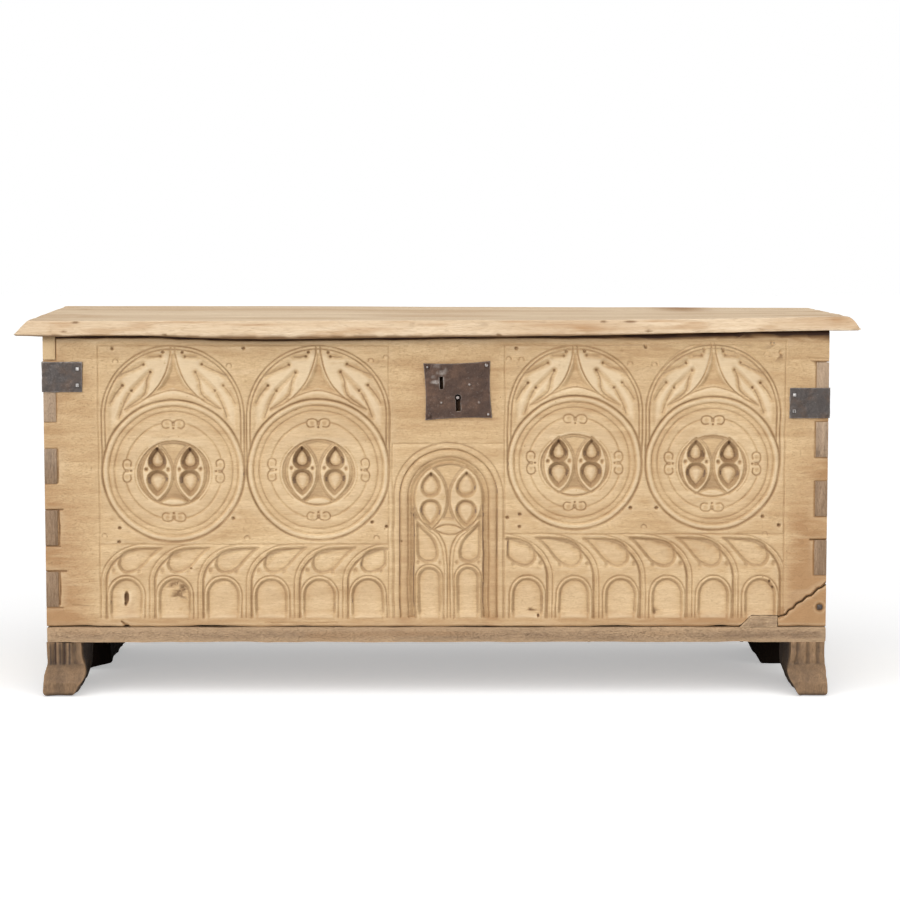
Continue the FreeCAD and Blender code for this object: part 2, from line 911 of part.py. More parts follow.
def bolt_guides():
    """Two staples on the back of the plate that still hold the bolt when it is thrown."""
    near, far, low, high = bolt_limits()
    back = front_y + bolt_set_back + bolt_iron + guide_clearance
    guides = []
    for x in (near + guide_inset, far - bolt_throw - guide_hold - guide_width):
        span = (lock_x + x, lock_x + x + guide_width)
        inner = (lock_z + low - guide_clearance, lock_z + high + guide_clearance)
        outer = (inner[0] - guide_iron, inner[1] + guide_iron)
        guides.append(box(span, (front_y, back + guide_iron), outer).cut(box(span, (front_y, back), inner)))
    return guides


def lock_bridge():
    """The strap behind the keyhole that carries the drill pin, on two legs from the plate."""
    low_z = lock_z - keyhole_drop - bridge_height / 2
    z = (low_z, low_z + bridge_height)
    y = (front_y + bridge_set_back, front_y + bridge_set_back + bridge_iron)
    strap = box((lock_x - bridge_half_span, lock_x + bridge_half_span), y, z)
    legs = []
    for side in (LEFT, RIGHT):
        outer_x = lock_x + side * bridge_half_span
        legs.append(box(sorted([outer_x, outer_x - side * bridge_iron]), (front_y, y[0]), z))
    hole = Part.makeCylinder(
        drill_pin_radius + drill_pin_clearance, bridge_iron, on_plate(0, -keyhole_drop, y[0]), BACKWARD,
    )
    return strap.fuse(legs).removeSplitter().cut(hole)


def drill_pin():
    """The pin in the middle of the keyhole's eye that a hollow key turns on."""
    tip_y = front_y - lock_plate_iron + drill_pin_show
    length = front_y + bridge_set_back + bridge_iron - tip_y
    return Part.makeCylinder(drill_pin_radius, length, on_plate(0, -keyhole_drop, tip_y), BACKWARD)


def lock_spring():
    """A bowed leaf spring on a foot behind the plate, whose free end bears on the bolt's upper edge."""
    near, far, low, high = bolt_limits()
    seat = high + guide_clearance
    y = front_y + bolt_set_back
    root_x = far - spring_foot
    tip_x = root_x - spring_length
    middle_x = (root_x + tip_x) / 2
    corners = [(tip_x, seat), (middle_x, seat + spring_rise / 4), (root_x, seat + spring_rise)]
    lower = [on_plate(x, z, y) for x, z in corners]
    upper = [on_plate(x, z + spring_iron, y) for x, z in corners]
    ends = [line(lower[2], upper[2]), line(upper[0], lower[0])]
    leaf = pushed([arc(*lower), ends[0], arc(*reversed(upper)), ends[1]], V(0, spring_width, 0))
    foot = box(
        (lock_x + root_x, lock_x + root_x + spring_foot),
        (front_y, y + spring_width),
        (lock_z + seat + spring_rise, lock_z + seat + spring_rise + spring_foot),
    )
    return leaf.fuse(foot).removeSplitter()


# Nails that hold the case together


def bottom_nails():
    """Nails up through the planks into the walls, clear of the feet."""
    nails = []
    widest_foot = max(front_foot_width, left_rear_width, right_rear_width)
    span = half_length - widest_foot - wall_nail_clear
    for y in (front_y + front_thickness / 2, back_y - back_thickness / 2):
        for x in spaced(-span, span, bottom_nail_count):
            nails.append(nail(V(x, y, base_z), DOWNWARD, long_nail_length))
    return nails


def foot_nails():
    """Two nails down through the planks into each foot, beside the inside of the walls."""
    nails = []
    for side in (LEFT, RIGHT):
        front_x = side * (half_length - front_foot_width / 2)
        rear_x = side * (half_length - side_thickness - nail_edge_room)
        places = [
            (front_x, front_y + front_thickness + foot_nail_inset - nail_edge_room),
            (front_x, front_y + front_foot_length - nail_edge_room - nail_head),
            (rear_x, back_y - back_thickness - foot_nail_inset + nail_edge_room),
            (rear_x, back_y - rear_foot_length(side) + nail_edge_room + nail_head),
        ]
        nails += [nail(V(x, y, floor_z), UPWARD, long_nail_length) for x, y in places]
    return nails


def corner_piece_nail():
    """The nail that holds the broken corner to the end of the right side board."""
    place = V(half_length - side_thickness / 2, front_y, floor_z + break_nail_height)
    return nail(place, FRONTWARD, long_nail_length)


def build():
    """Every piece by its name, bored for the nails that it takes."""
    lid_nails = [piece for side in (LEFT, RIGHT) for piece in strap_nails(side * hinge_offset)]
    hinge_leaf_nails = [piece for side in (LEFT, RIGHT) for piece in leaf_nails(side * hinge_offset)]
    iron_nails = [piece for side in (LEFT, RIGHT) for piece in corner_nails(side)]
    plate_nails = lock_plate_nails()
    plank_nails = bottom_nails()
    feet_nails = foot_nails()
    corner_nail = corner_piece_nail()

    patch = rail_patch()
    blank = front_blank().cut(iron_nails + plate_nails + plank_nails + [corner_nail])
    front = blank.cut([break_prism(0.0), patch])
    corner_piece = blank.common(break_prism(break_gap))
    front_plank, rear_plank = bottom_planks()
    recesses = [
        pushed(strap_outline(side * hinge_offset, inlet_gap), V(0, 0, hinge_iron)) for side in (LEFT, RIGHT)
    ]
    parts = {
        "front_board": front,
        "front_corner_piece": corner_piece,
        "front_rail_patch": patch,
        "back_board": back_board().cut(plank_nails + hinge_leaf_nails),
        "left_side_board": side_board(LEFT).cut(iron_nails),
        "right_side_board": side_board(RIGHT).cut(iron_nails + [corner_nail]),
        "bottom_front_plank": front_plank.cut(plank_nails + feet_nails),
        "bottom_rear_plank": rear_plank.cut(plank_nails + feet_nails),
        "front_left_foot": front_foot(LEFT).cut(feet_nails),
        "front_right_foot": front_foot(RIGHT).cut(feet_nails),
        "rear_left_foot": rear_foot(LEFT).cut(feet_nails),
        "rear_right_foot": rear_foot(RIGHT).cut(feet_nails),
        "lid_board": lid_blank().cut(recesses + lid_nails),
        "lock_plate": lock_plate().cut(plate_nails),
        "lock_plate_nails": group(plate_nails),
        "lock_bolt": lock_bolt(),
        "lock_bolt_guides": group(bolt_guides()),
        "lock_bridge": lock_bridge(),
        "lock_drill_pin": drill_pin(),
        "lock_spring": lock_spring(),
        "corner_iron_nails": group(iron_nails),
        "lid_strap_nails": group(lid_nails),
        "hinge_leaf_nails": group(hinge_leaf_nails),
        "bottom_nails": group(plank_nails),
        "foot_nails": group(feet_nails),
        "corner_piece_nail": corner_nail,
    }
    for name, side in (("left", LEFT), ("right", RIGHT)):
        x = side * hinge_offset
        parts[f"{name}_corner_iron"] = corner_strap(side).cut(iron_nails)
        parts[f"{name}_lid_strap"] = lid_strap(x).cut(lid_nails)
        parts[f"{name}_hinge_leaf"] = back_leaf(x).cut(hinge_leaf_nails)
        parts[f"{name}_hinge_pin"] = hinge_pin(x)
    return parts


os.makedirs("parts", exist_ok=True)
for node, shape in build().items():
    shape.exportStep(f"parts/{node}.step")
    state = "valid" if shape.isValid() else "not valid"
    print(node, len(shape.Solids), "solids", round(shape.Volume), "mm3", state)
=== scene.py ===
"""Looks of a dovetailed oak coffer with a carved tracery front, laid out as an add-on and run as a script.

The frame is in metres. The carving is laid out in millimetres on the front board's own x and z.
"""

import math
from collections import namedtuple
from contextlib import contextmanager
from types import SimpleNamespace

import bpy
import numpy as np
from mathutils import Matrix, Vector


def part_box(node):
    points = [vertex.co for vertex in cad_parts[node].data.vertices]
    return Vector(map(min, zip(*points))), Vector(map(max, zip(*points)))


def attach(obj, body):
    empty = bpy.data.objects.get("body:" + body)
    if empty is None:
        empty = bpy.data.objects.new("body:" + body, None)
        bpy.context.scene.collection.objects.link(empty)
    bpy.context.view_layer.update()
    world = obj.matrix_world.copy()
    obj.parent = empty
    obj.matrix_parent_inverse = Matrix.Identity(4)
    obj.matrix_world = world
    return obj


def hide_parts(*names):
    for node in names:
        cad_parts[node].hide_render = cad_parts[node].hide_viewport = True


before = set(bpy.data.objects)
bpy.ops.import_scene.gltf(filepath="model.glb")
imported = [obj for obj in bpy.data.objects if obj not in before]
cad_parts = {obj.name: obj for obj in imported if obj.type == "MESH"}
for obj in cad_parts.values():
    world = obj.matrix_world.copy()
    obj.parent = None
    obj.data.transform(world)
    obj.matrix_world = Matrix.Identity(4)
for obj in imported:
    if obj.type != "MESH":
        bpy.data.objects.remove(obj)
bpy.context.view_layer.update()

bl_info = {
    "name": "Carved oak coffer",
    "version": (1, 0, 0),
    "blender": (4, 5, 0),
    "location": "View3D > Sidebar > Coffer",
    "description": "Dresses a coffer's frame in worn oak and forged iron",
    "category": "Object",
}

MM = 0.001
LEFT, RIGHT = -1, 1


# Sizes and colours that a user would change


def length(name, description, default):
    """A size in metres."""
    return bpy.props.FloatProperty(
        name=name, description=description, default=default, unit="LENGTH", precision=4,
    )


def angle(name, description, default):
    """An angle in radians."""
    return bpy.props.FloatProperty(name=name, description=description, default=default, subtype="ANGLE")


def power(name, description, default):
    """How strong a light is."""
    return bpy.props.FloatProperty(name=name, description=description, default=default, min=0.0)


def colour(name, description, default):
    """A linear colour."""
    return bpy.props.FloatVectorProperty(
        name=name, description=description, default=default, subtype="COLOR", size=3, min=0.0, max=1.0,
    )


class CofferCarving(bpy.types.PropertyGroup):
    """Cuts of the carved front."""

    step: length("Step", "Spacing of the points of the carved sheet", 0.00145)
    groove_width: length("Groove width", "Width of the main V grooves", 0.0056)
    groove_depth: length("Groove depth", "Depth of the main V grooves", 0.0036)
    line_width: length("Line width", "Width of the fine incised lines", 0.0044)
    line_depth: length("Line depth", "Depth of the fine incised lines", 0.0026)
    pocket_wall: length("Pocket wall", "Width of the sloping walls of the sunk grounds", 0.0042)
    pocket_depth: length("Pocket depth", "Depth of the sunk grounds of the lancets", 0.0046)
    drop_wall: length("Drop wall", "Width of the sloping walls of the drops", 0.0066)
    drop_depth: length("Drop depth", "Depth of the drops", 0.0095)
    ring_roll: length("Ring roll", "Width of the roll round a roundel", 0.0125)
    ring_band: length("Ring band", "Width of the flat band within the roll", 0.0100)
    wobble: length("Wobble", "How far the carver's hand strays from the layout", 0.0009)
    triangles: bpy.props.IntProperty(
        name="Triangles", description="Most triangles of the carved board", default=190000, min=20000,
    )


class CofferWear(bpy.types.PropertyGroup):
    """Wear of the plain pieces."""

    board_edge: length("Board edge", "Easing of the board edges", 0.0012)
    iron_edge: length("Iron edge", "Easing of the iron edges", 0.0005)
    plank_voxel: length("Plank grain size", "Mesh size of the worn planks", 0.0050)
    foot_voxel: length("Foot grain size", "Mesh size of the worn feet", 0.0019)
    iron_voxel: length("Iron grain size", "Mesh size of the hammered irons", 0.0011)
    nail_voxel: length("Nail grain size", "Mesh size of the rubbed nail heads", 0.0006)
    plank_dents: length("Plank dents", "Height of the dents in the planks", 0.0009)
    foot_dents: length("Foot dents", "Height of the dents in the feet", 0.0017)
    hammer_marks: length("Hammer marks", "Height of the hammer marks in the irons", 0.0005)
    lock_tilt: angle("Lock tilt", "How far the lock plate is askew", math.radians(2.0))


class CofferColours(bpy.types.PropertyGroup):
    """Base colours of the finishes."""

    oak_pale: colour("Pale oak", "Scrubbed oak of the front", (0.695, 0.505, 0.285))
    # Also the colour of painted highlights on the carving's edges and crests
    oak_bright: colour("Bright oak", "Crests and grounds of the carving", (0.765, 0.61, 0.405))
    oak_tan: colour("Tan oak", "Darker streaks of the front", (0.45, 0.278, 0.130))
    oak_brown: colour("Brown oak", "Old brown patina at edges and ends", (0.375, 0.208, 0.090))
    lid_pale: colour("Lid oak", "Bleached oak of the lid", (0.72, 0.578, 0.408))
    lid_tan: colour("Lid streaks", "Darker streaks of the lid", (0.54, 0.395, 0.245))
    base_pale: colour("Base oak", "Greyed oak of the bottom planks", (0.46, 0.308, 0.178))
    base_tan: colour("Base streaks", "Dark streaks of the bottom planks", (0.15, 0.090, 0.050))
    foot_pale: colour("Foot oak", "Dark oak of the feet", (0.315, 0.190, 0.097))
    foot_tan: colour("Foot streaks", "Darkest oak of the feet", (0.135, 0.080, 0.042))
    # Painted shade: the rear feet are near black as if in deep shadow
    rear_foot_shade: colour("Rear feet", "Blackened oak of the rear feet", (0.010, 0.006, 0.004))
    # Painted shade on the back of the front feet, and dirt in their hollows
    foot_dark: colour("Foot dirt", "Black dirt behind and between the feet", (0.034, 0.019, 0.011))
    # Also stands in for the painted highlight on the nail crowns
    nail_bright: colour("Nail heads", "Rubbed nail heads", (0.66, 0.64, 0.62))
    end_pale: colour("End grain", "Grey-brown end grain", (0.50, 0.355, 0.235))
    end_tan: colour("End grain rings", "Dark rings of the end grain", (0.10, 0.062, 0.038))
    patch_pale: colour("Patch oak", "Greyer oak of the rail patch", (0.54, 0.375, 0.22))
    inner_pale: colour("Inner oak", "Unscrubbed oak of the inside and back", (0.46, 0.32, 0.185))
    dirt: colour("Dirt", "Old dirt in the cuts", (0.19, 0.098, 0.036))
    strap_dark: colour("Strap iron", "Grey iron of the straps", (0.085, 0.073, 0.068))
    strap_rust: colour("Strap rust", "Rust on the straps", (0.115, 0.078, 0.058))
    lock_dark: colour("Lock iron", "Brown iron of the lock plate", (0.076, 0.046, 0.034))
    lock_rust: colour("Lock rust", "Rust on the lock plate", (0.130, 0.075, 0.050))
    iron_bare: colour("Bare iron", "Iron rubbed bright", (0.34, 0.30, 0.27))
    pin_iron: colour("Pin iron", "End of the drill pin in the keyhole", (0.36, 0.31, 0.29))
    floor: colour("Floor", "Pale floor as a reflector", (0.80, 0.80, 0.80))
    floor_seen: colour("Seen floor", "Pale floor as the eye sees it", (0.85, 0.85, 0.85))


class CofferStage(bpy.types.PropertyGroup):
    """Camera and light."""

    camera_side: length("Camera side", "Camera's place along the chest", 0.01086)
    camera_away: length("Camera away", "Camera's place in front of the origin", 5.23504)
    camera_height: length("Camera height", "Camera's height over the floor", 0.95884)
    camera_lens: bpy.props.FloatProperty(
        name="Camera lens", description="Focal length in millimetres", default=104.57, min=1.0,
    )
    camera_dip: angle("Camera dip", "How far the camera looks down", 0.0969)
    camera_turn: angle("Camera turn", "How far the camera is turned", -0.0031)
    floor_size: length("Floor size", "Side of the floor", 40.0)
    sky: power("Sky", "Light from all round", 0.20)
    key: power("Key", "Strength of the light from the front", 1.96)
    key_width: angle("Key width", "How wide the light from the front is", math.radians(28))
    top: power("Top", "Strength of the light from overhead", 2.7)
    top_width: angle("Top width", "How wide the light from overhead is", math.radians(120))
    pool: power("Pool", "Strength of the light that only the floor takes", 3.0)
    pool_width: angle("Pool width", "How wide the floor's own light is", math.radians(100))
    floor_glow: power("Floor glow", "Light that the floor gives the eye", 0.40)


# Meshes


def select_only(piece):
    """Makes the piece the only selected one and the active one."""
    bpy.ops.object.select_all(action="DESELECT")
    piece.select_set(True)
    bpy.context.view_layer.objects.active = piece


def rows_of(items, name):
    """A value of a mesh's points or faces, as rows of x, y and z."""
    flat = np.empty(len(items) * 3, np.float32)
    items.foreach_get(name, flat)
    return flat.reshape(-1, 3)


@contextmanager
def editing(piece):
    """Opens a piece in edit mode with all of it selected, and closes it again."""
    select_only(piece)
    bpy.ops.object.mode_set(mode="EDIT")
    bpy.ops.mesh.select_all(action="SELECT")
    yield
    bpy.ops.object.mode_set(mode="OBJECT")


def points_of(piece):
    """The place of each point."""
    return rows_of(piece.data.vertices, "co").astype(float)


def normals_of(piece):
    """The way that each point faces."""
    return rows_of(piece.data.vertices, "normal").astype(float)


def move_points(piece, points):
    """Gives the piece's points new places."""
    piece.data.vertices.foreach_set("co", np.asarray(points, np.float32).ravel())
    piece.data.update()


def faces_of(piece):
    """The middle and the normal of each face."""
    return rows_of(piece.data.polygons, "center"), rows_of(piece.data.polygons, "normal")


def set_values(piece, name, values):
    """One number for each point, which the finishes read by name."""
    attribute = piece.data.attributes.new(name, "FLOAT", "POINT")
    attribute.data.foreach_set("value", np.asarray(values, np.float32))


def select_faces(piece, chosen):
    """Leaves edit mode open with only the chosen faces selected."""
    select_only(piece)
    bpy.ops.object.mode_set(mode="EDIT")
    bpy.ops.mesh.select_mode(type="FACE")
    bpy.ops.mesh.select_all(action="DESELECT")
    bpy.ops.object.mode_set(mode="OBJECT")
    piece.data.polygons.foreach_set("select", np.asarray(chosen, bool))
    bpy.ops.object.mode_set(mode="EDIT")


def new_grid(name, columns, rows):
    """A flat grid with that many faces each way."""
    bpy.ops.object.select_all(action="DESELECT")
    bpy.ops.mesh.primitive_grid_add(x_subdivisions=columns, y_subdivisions=rows, size=1.0)
    grid = bpy.context.active_object
    grid.name = name
    return grid


def apply_modifier(piece, kind, **settings):
    """Adds a modifier with these settings and applies it."""
    modifier = piece.modifiers.new(kind.title(), kind)
    for name, value in settings.items():
        setattr(modifier, name, value)
    select_only(piece)
    bpy.ops.object.modifier_apply(modifier=modifier.name)


def copy_of_node(name, node):
    """A new piece that starts as a node's own shape, with its triangles merged into flat faces."""
    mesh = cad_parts[node].data.copy()
    mesh.materials.clear()
    piece = bpy.data.objects.new(name, mesh)
    bpy.context.scene.collection.objects.link(piece)
    select_only(piece)
    bpy.ops.mesh.customdata_custom_splitnormals_clear()
    with editing(piece):
        bpy.ops.mesh.remove_doubles(threshold=0.02 * MM)
        bpy.ops.mesh.dissolve_limited(angle_limit=math.radians(1))
    return piece


def ease_edges(piece, width):
    """Rounds the sharp edges, as handling does."""
    apply_modifier(
        piece, "BEVEL", width=width, segments=2, limit_method="ANGLE", angle_limit=math.radians(35),
    )


def remesh(piece, voxel, smoothing):
    """Turns a piece into an even skin that can be dented, with its edges worn round."""
    piece.data.remesh_voxel_size = voxel
    piece.data.remesh_voxel_adaptivity = 0.0
    select_only(piece)
    bpy.ops.object.voxel_remesh()
    apply_modifier(piece, "SMOOTH", factor=0.5, iterations=smoothing)


def soft_noise(x, y, cell_x, cell_y, seed):
    """Smooth noise from -1 to 1 whose bumps are about a cell wide, the same on every run."""
    lattice = np.random.default_rng(seed).uniform(-1, 1, (64, 64))
    u, v = x / cell_x, y / cell_y
    column, row = np.floor(u).astype(int), np.floor(v).astype(int)
    a, b = u - column, v - row
    a, b = a * a * (3 - 2 * a), b * b * (3 - 2 * b)

    def at(right, up):
        return lattice[(row + up) % 64, (column + right) % 64]

    low = at(0, 0) * (1 - a) + at(1, 0) * a
    high = at(0, 1) * (1 - a) + at(1, 1) * a
    return low * (1 - b) + high * b


def ramp(values, start, end):
    """0 before start, 1 after end, and smooth between them."""
    share = np.clip((values - start) / (end - start), 0, 1)
    return share * share * (3 - 2 * share)


def hump(values, middle, reach, full=0.0):
    """1 within full of the middle, 0 beyond reach of it, and smooth between them."""
    return ramp(-np.abs(values - middle), -reach, -full)


def spot(x, z, middle, reach, edge, core):
    """1 in the core of an oval spot and 0 past its edge, which are shares of its reach each way."""
    return ramp(np.hypot((x - middle[0]) / reach[0], (z - middle[1]) / reach[1]), edge, core)


def dent(piece, height, cell, seed):
    """Pushes the skin in and out in soft uneven dents."""
    points = points_of(piece)
    x, y, z = points.T
    dents = soft_noise(x + 0.7 * y, z - 0.6 * y, cell, cell, seed)
    dents += 0.5 * soft_noise(x - 0.4 * y, z + 0.9 * y, cell * 0.37, cell * 0.37, seed + 1)
    move_points(piece, points + normals_of(piece) * (height * dents)[:, None])


def wear_of(piece, rounds, reach):
    """How far each point stands out of its smoothed surroundings: edges above 0, hollows below."""
    points = points_of(piece)
    count = len(points)
    ends = np.empty(len(piece.data.edges) * 2, np.int32)
    piece.data.edges.foreach_get("vertices", ends)
    first, second = ends.reshape(-1, 2).T
    degree = np.maximum(np.bincount(first, minlength=count) + np.bincount(second, minlength=count), 1)
    smoothed = points.copy()
    for _ in range(rounds):
        for axis in range(3):
            along = smoothed[:, axis]
            total = np.bincount(first, along[second], count) + np.bincount(second, along[first], count)
            smoothed[:, axis] = total / degree
    stands = ((points - smoothed) * normals_of(piece)).sum(1)
    return np.clip(stands / reach, -1, 1)


def finish_piece(piece, body, nodes, materials, smooth_angle=40):
    """Gives a made piece its finish, its body and the nodes that it stands for."""
    for material in materials:
        piece.data.materials.append(material)
    select_only(piece)
    bpy.ops.object.shade_smooth_by_angle(angle=math.radians(smooth_angle))
    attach(piece, body)
    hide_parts(*nodes)


def paint_faces(piece, chosen, index):
    """Gives the chosen faces the finish of that index."""
    marks = np.zeros(len(piece.data.polygons), np.int32)
    piece.data.polygons.foreach_get("material_index", marks)
    marks[chosen] = index
    piece.data.polygons.foreach_set("material_index", marks)


# Finishes


def feed(tree, socket, value):
    """Links a node's input to another socket, or sets it to a value."""
    if isinstance(value, bpy.types.NodeSocket):
        tree.links.new(value, socket)
    elif socket.type == "RGBA":
        socket.default_value = (*value, 1.0)
    else:
        socket.default_value = value


def add_node(tree, kind, **inputs):
    """A new node with its named inputs set to values or linked to sockets."""
    node = tree.nodes.new(kind)
    for name, value in inputs.items():
        feed(tree, node.inputs[name.replace("_", " ")], value)
    return node


def noise(tree, vector, scale, detail=3.0, roughness=0.5, distortion=0.0):
    """The value of a noise texture."""
    node = add_node(
        tree, "ShaderNodeTexNoise", Vector=vector, Scale=scale, Detail=detail, Roughness=roughness,
        Distortion=distortion,
    )
    return node.outputs["Fac"]


def remap(tree, value, low, high, to_low=0.0, to_high=1.0):
    """A value moved from one range to another and kept within it."""
    node = add_node(
        tree, "ShaderNodeMapRange", Value=value, From_Min=low, From_Max=high, To_Min=to_low, To_Max=to_high,
    )
    node.clamp = True
    return node.outputs["Result"]


def maths(tree, operation, first, second):
    """Two values, each a socket or a number, added, multiplied or the like."""
    node = tree.nodes.new("ShaderNodeMath")
    node.operation = operation
    for socket, value in zip(node.inputs, (first, second)):
        feed(tree, socket, value)
    return node.outputs["Value"]


def mix(tree, share, first, second):
    """Mixes two colours, each a socket or a linear colour."""
    node = tree.nodes.new("ShaderNodeMix")
    node.data_type = "RGBA"
    node.clamp_factor = True
    colours = [socket for socket in node.inputs if socket.type == "RGBA"]
    factor = next(socket for socket in node.inputs if socket.type == "VALUE")
    for socket, value in zip([factor] + colours, (share, first, second)):
        feed(tree, socket, value)
    return next(socket for socket in node.outputs if socket.type == "RGBA")


def new_group(name, inputs, outputs):
    """An empty shader group. Inputs and outputs map socket names to their kinds."""
    tree = bpy.data.node_groups.new(name, "ShaderNodeTree")
    for way, sockets in (("INPUT", inputs), ("OUTPUT", outputs)):
        for socket, kind in sockets.items():
            tree.interface.new_socket(socket, in_out=way, socket_type="NodeSocket" + kind)
    return tree, tree.nodes.new("NodeGroupInput").outputs, tree.nodes.new("NodeGroupOutput").inputs


# Nearly black brown of painted shade and old dirt in the deepest gaps, cracks and holes, and of the painted
# shadow under the lid
SHADE_AND_DIRT_BROWN = (0.044, 0.0125, 0.0018)


def oak_group():
    """Long-grained oak: figure, streaks, pores, old stain and dirt, painted shade in the deepest cuts, and pale
    edges and crests, partly rubbed and partly painted highlight.
    """
    tree, given, made = new_group(
        "oak_figure",
        {"Vector": "Vector", "Pale": "Color", "Bright": "Color", "Tan": "Color", "Brown": "Color",
         "Dirt": "Color", "Wear": "Float", "Stain": "Float"},
        {"Colour": "Color", "Roughness": "Float", "Height": "Float"},
    )
    vector = given["Vector"]
    figure = remap(tree, noise(tree, vector, 3.4, detail=6.0, distortion=0.9), 0.30, 0.70)
    streaks = noise(tree, vector, 21.0, detail=4.0, roughness=0.6)
    lines = noise(tree, vector, 75.0, detail=4.0, roughness=0.7)
    pores = remap(tree, noise(tree, vector, 210.0, detail=2.0), 0.56, 0.70)
    flecks = remap(tree, noise(tree, vector, 48.0, detail=3.0, roughness=0.75), 0.56, 0.72)
    patches = noise(tree, vector, 0.9, detail=2.0)
    share = maths(tree, "ADD", maths(tree, "MULTIPLY", figure, 0.42), maths(tree, "MULTIPLY", streaks, 0.58))
    bare = mix(tree, remap(tree, share, 0.30, 0.80), given["Pale"], given["Tan"])
    bare = mix(tree, remap(tree, lines, 0.42, 0.66, 0.0, 0.62), bare, given["Tan"])
    bare = mix(tree, maths(tree, "MULTIPLY", flecks, 0.40), bare, given["Brown"])
    bare = mix(tree, maths(tree, "MULTIPLY", pores, 0.42), bare, given["Brown"])
    uneven_stain = maths(tree, "MULTIPLY", given["Stain"], remap(tree, streaks, 0.25, 0.75, 0.65, 1.35))
    stained = mix(tree, uneven_stain, bare, given["Brown"])
    tint = remap(tree, patches, 0.35, 0.65, 0.0, 0.16)
    stained = mix(tree, tint, stained, given["Tan"])
    hollow = maths(tree, "MULTIPLY", given["Wear"], -1.0)
    filled = remap(tree, hollow, 0.04, 0.9)
    dirt_share = maths(tree, "MULTIPLY", filled, remap(tree, streaks, 0.2, 0.8, 0.75, 1.0))
    dirty = mix(tree, dirt_share, stained, given["Dirt"])
    # Painted shade: the deepest cuts turn near black
    dirty = mix(tree, remap(tree, hollow, 1.0, 1.6), dirty, SHADE_AND_DIRT_BROWN)
    # Paler where worn; on the front also where highlights are painted on edges and crests
    rubbed = remap(tree, given["Wear"], 0.06, 0.9, 0.0, 0.62)
    tree.links.new(mix(tree, rubbed, dirty, given["Bright"]), made["Colour"])
    tree.links.new(remap(tree, lines, 0.2, 0.8, 0.56, 0.76), made["Roughness"])
    height = maths(tree, "SUBTRACT", maths(tree, "MULTIPLY", lines, 0.6), maths(tree, "MULTIPLY", pores, 0.5))
    tree.links.new(height, made["Height"])
    return tree


def iron_group():
    """Forged iron: dark skin, rust blooms, scale pits and edges rubbed bright."""
    tree, given, made = new_group(
        "forged_skin",
        {"Vector": "Vector", "Dark": "Color", "Rust": "Color", "Bare": "Color", "Wear": "Float"},
        {"Colour": "Color", "Roughness": "Float", "Height": "Float"},
    )
    vector = given["Vector"]
    bloom = remap(tree, noise(tree, vector, 38.0, detail=5.0, roughness=0.62), 0.44, 0.66)
    mottle = noise(tree, vector, 150.0, detail=4.0, roughness=0.6)
    pits = remap(tree, noise(tree, vector, 420.0, detail=2.0), 0.56, 0.72)
    skin = mix(tree, bloom, given["Dark"], given["Rust"])
    shade = remap(tree, mottle, 0.3, 0.7, 0.0, 0.55)
    skin = mix(tree, shade, skin, given["Dark"])
    specks = remap(tree, noise(tree, vector, 260.0, detail=3.0, roughness=0.7), 0.60, 0.76, 0.0, 0.32)
    skin = mix(tree, specks, skin, given["Bare"])
    rubbed = maths(tree, "MULTIPLY", remap(tree, given["Wear"], 0.15, 0.9), remap(tree, mottle, 0.3, 0.6))
    tree.links.new(mix(tree, rubbed, skin, given["Bare"]), made["Colour"])
    tree.links.new(remap(tree, mottle, 0.25, 0.75, 0.40, 0.68), made["Roughness"])
    height = maths(tree, "SUBTRACT", mottle, maths(tree, "MULTIPLY", pits, 0.6))
    tree.links.new(height, made["Height"])
    return tree


def shared_group(name, build):
    """The group of that name, which is built at its first use."""
    return bpy.data.node_groups.get(name) or build()


def attribute(tree, name):
    """A number that the piece's points carry under that name."""
    node = tree.nodes.new("ShaderNodeAttribute")
    node.attribute_name = name
    return node.outputs["Fac"]


def grain_vector(tree, scale, shift):
    """The piece's own place, drawn out along the grain."""
    place = tree.nodes.new("ShaderNodeTexCoord").outputs["Object"]
    node = add_node(tree, "ShaderNodeMapping", Vector=place, Scale=scale, Location=(shift, shift, shift))
    return node.outputs["Vector"]


def finish_of(name, group, shades, scale, shift, bump, metallic=0.0, specular=0.5):
    """A finish whose colour, gloss and relief come from a shared group. Shades name its colours."""
    found = bpy.data.materials.get(name)
    if found:
        return found
    material = bpy.data.materials.new(name)
    material.use_nodes = True
    tree = material.node_tree
    shader = tree.nodes["Principled BSDF"]
    shader.inputs["Metallic"].default_value = metallic
    shader.inputs["Specular IOR Level"].default_value = specular
    node = tree.nodes.new("ShaderNodeGroup")
    node.node_tree = group
    tree.links.new(grain_vector(tree, scale, shift), node.inputs["Vector"])
    for socket, shade in shades.items():
        feed(tree, node.inputs[socket], getattr(bpy.context.scene.coffer_colours, shade))
    for socket in ("Wear", "Stain"):
        if socket in node.inputs:
            tree.links.new(attribute(tree, socket.lower()), node.inputs[socket])
    lift = add_node(tree, "ShaderNodeBump", Height=node.outputs["Height"], Strength=1.0, Distance=bump)
    tree.links.new(node.outputs["Colour"], shader.inputs["Base Color"])
    tree.links.new(node.outputs["Roughness"], shader.inputs["Roughness"])
    tree.links.new(lift.outputs["Normal"], shader.inputs["Normal"])
    return material


# How many times closer the figure lies across the grain than along it
GRAIN = 9.0
IRON_BUMP = 0.0006


def oak(name, pale, tan, along="x", shift=0.0, bump=0.0006, dark=None, bright=None, drawn=1.0, gloss=0.5):
    """Oak in named colours, whose grain runs along an axis. Drawn below 1 makes the streaks longer."""
    shades = {
        "Pale": pale, "Bright": bright or pale, "Tan": tan, "Brown": dark or "oak_brown", "Dirt": dark or "dirt",
    }
    scale = [drawn if axis == along else GRAIN for axis in "xyz"]
    group = shared_group("oak_figure", oak_group)
    return finish_of(name, group, shades, scale, shift, bump, specular=gloss)


def front_oak():
    return oak("scrubbed_oak", "oak_pale", "oak_tan", bright="oak_bright")


def side_oak():
    return oak("side_oak", "oak_pale", "oak_tan", along="y", shift=3.0)


def inner_oak(along="x"):
    return oak("inner_oak_" + along, "inner_pale", "oak_brown", along=along, shift=7.0)


def end_grain():
    return oak("end_grain", "end_pale", "end_tan", along="z", shift=5.0, bump=0.0012)


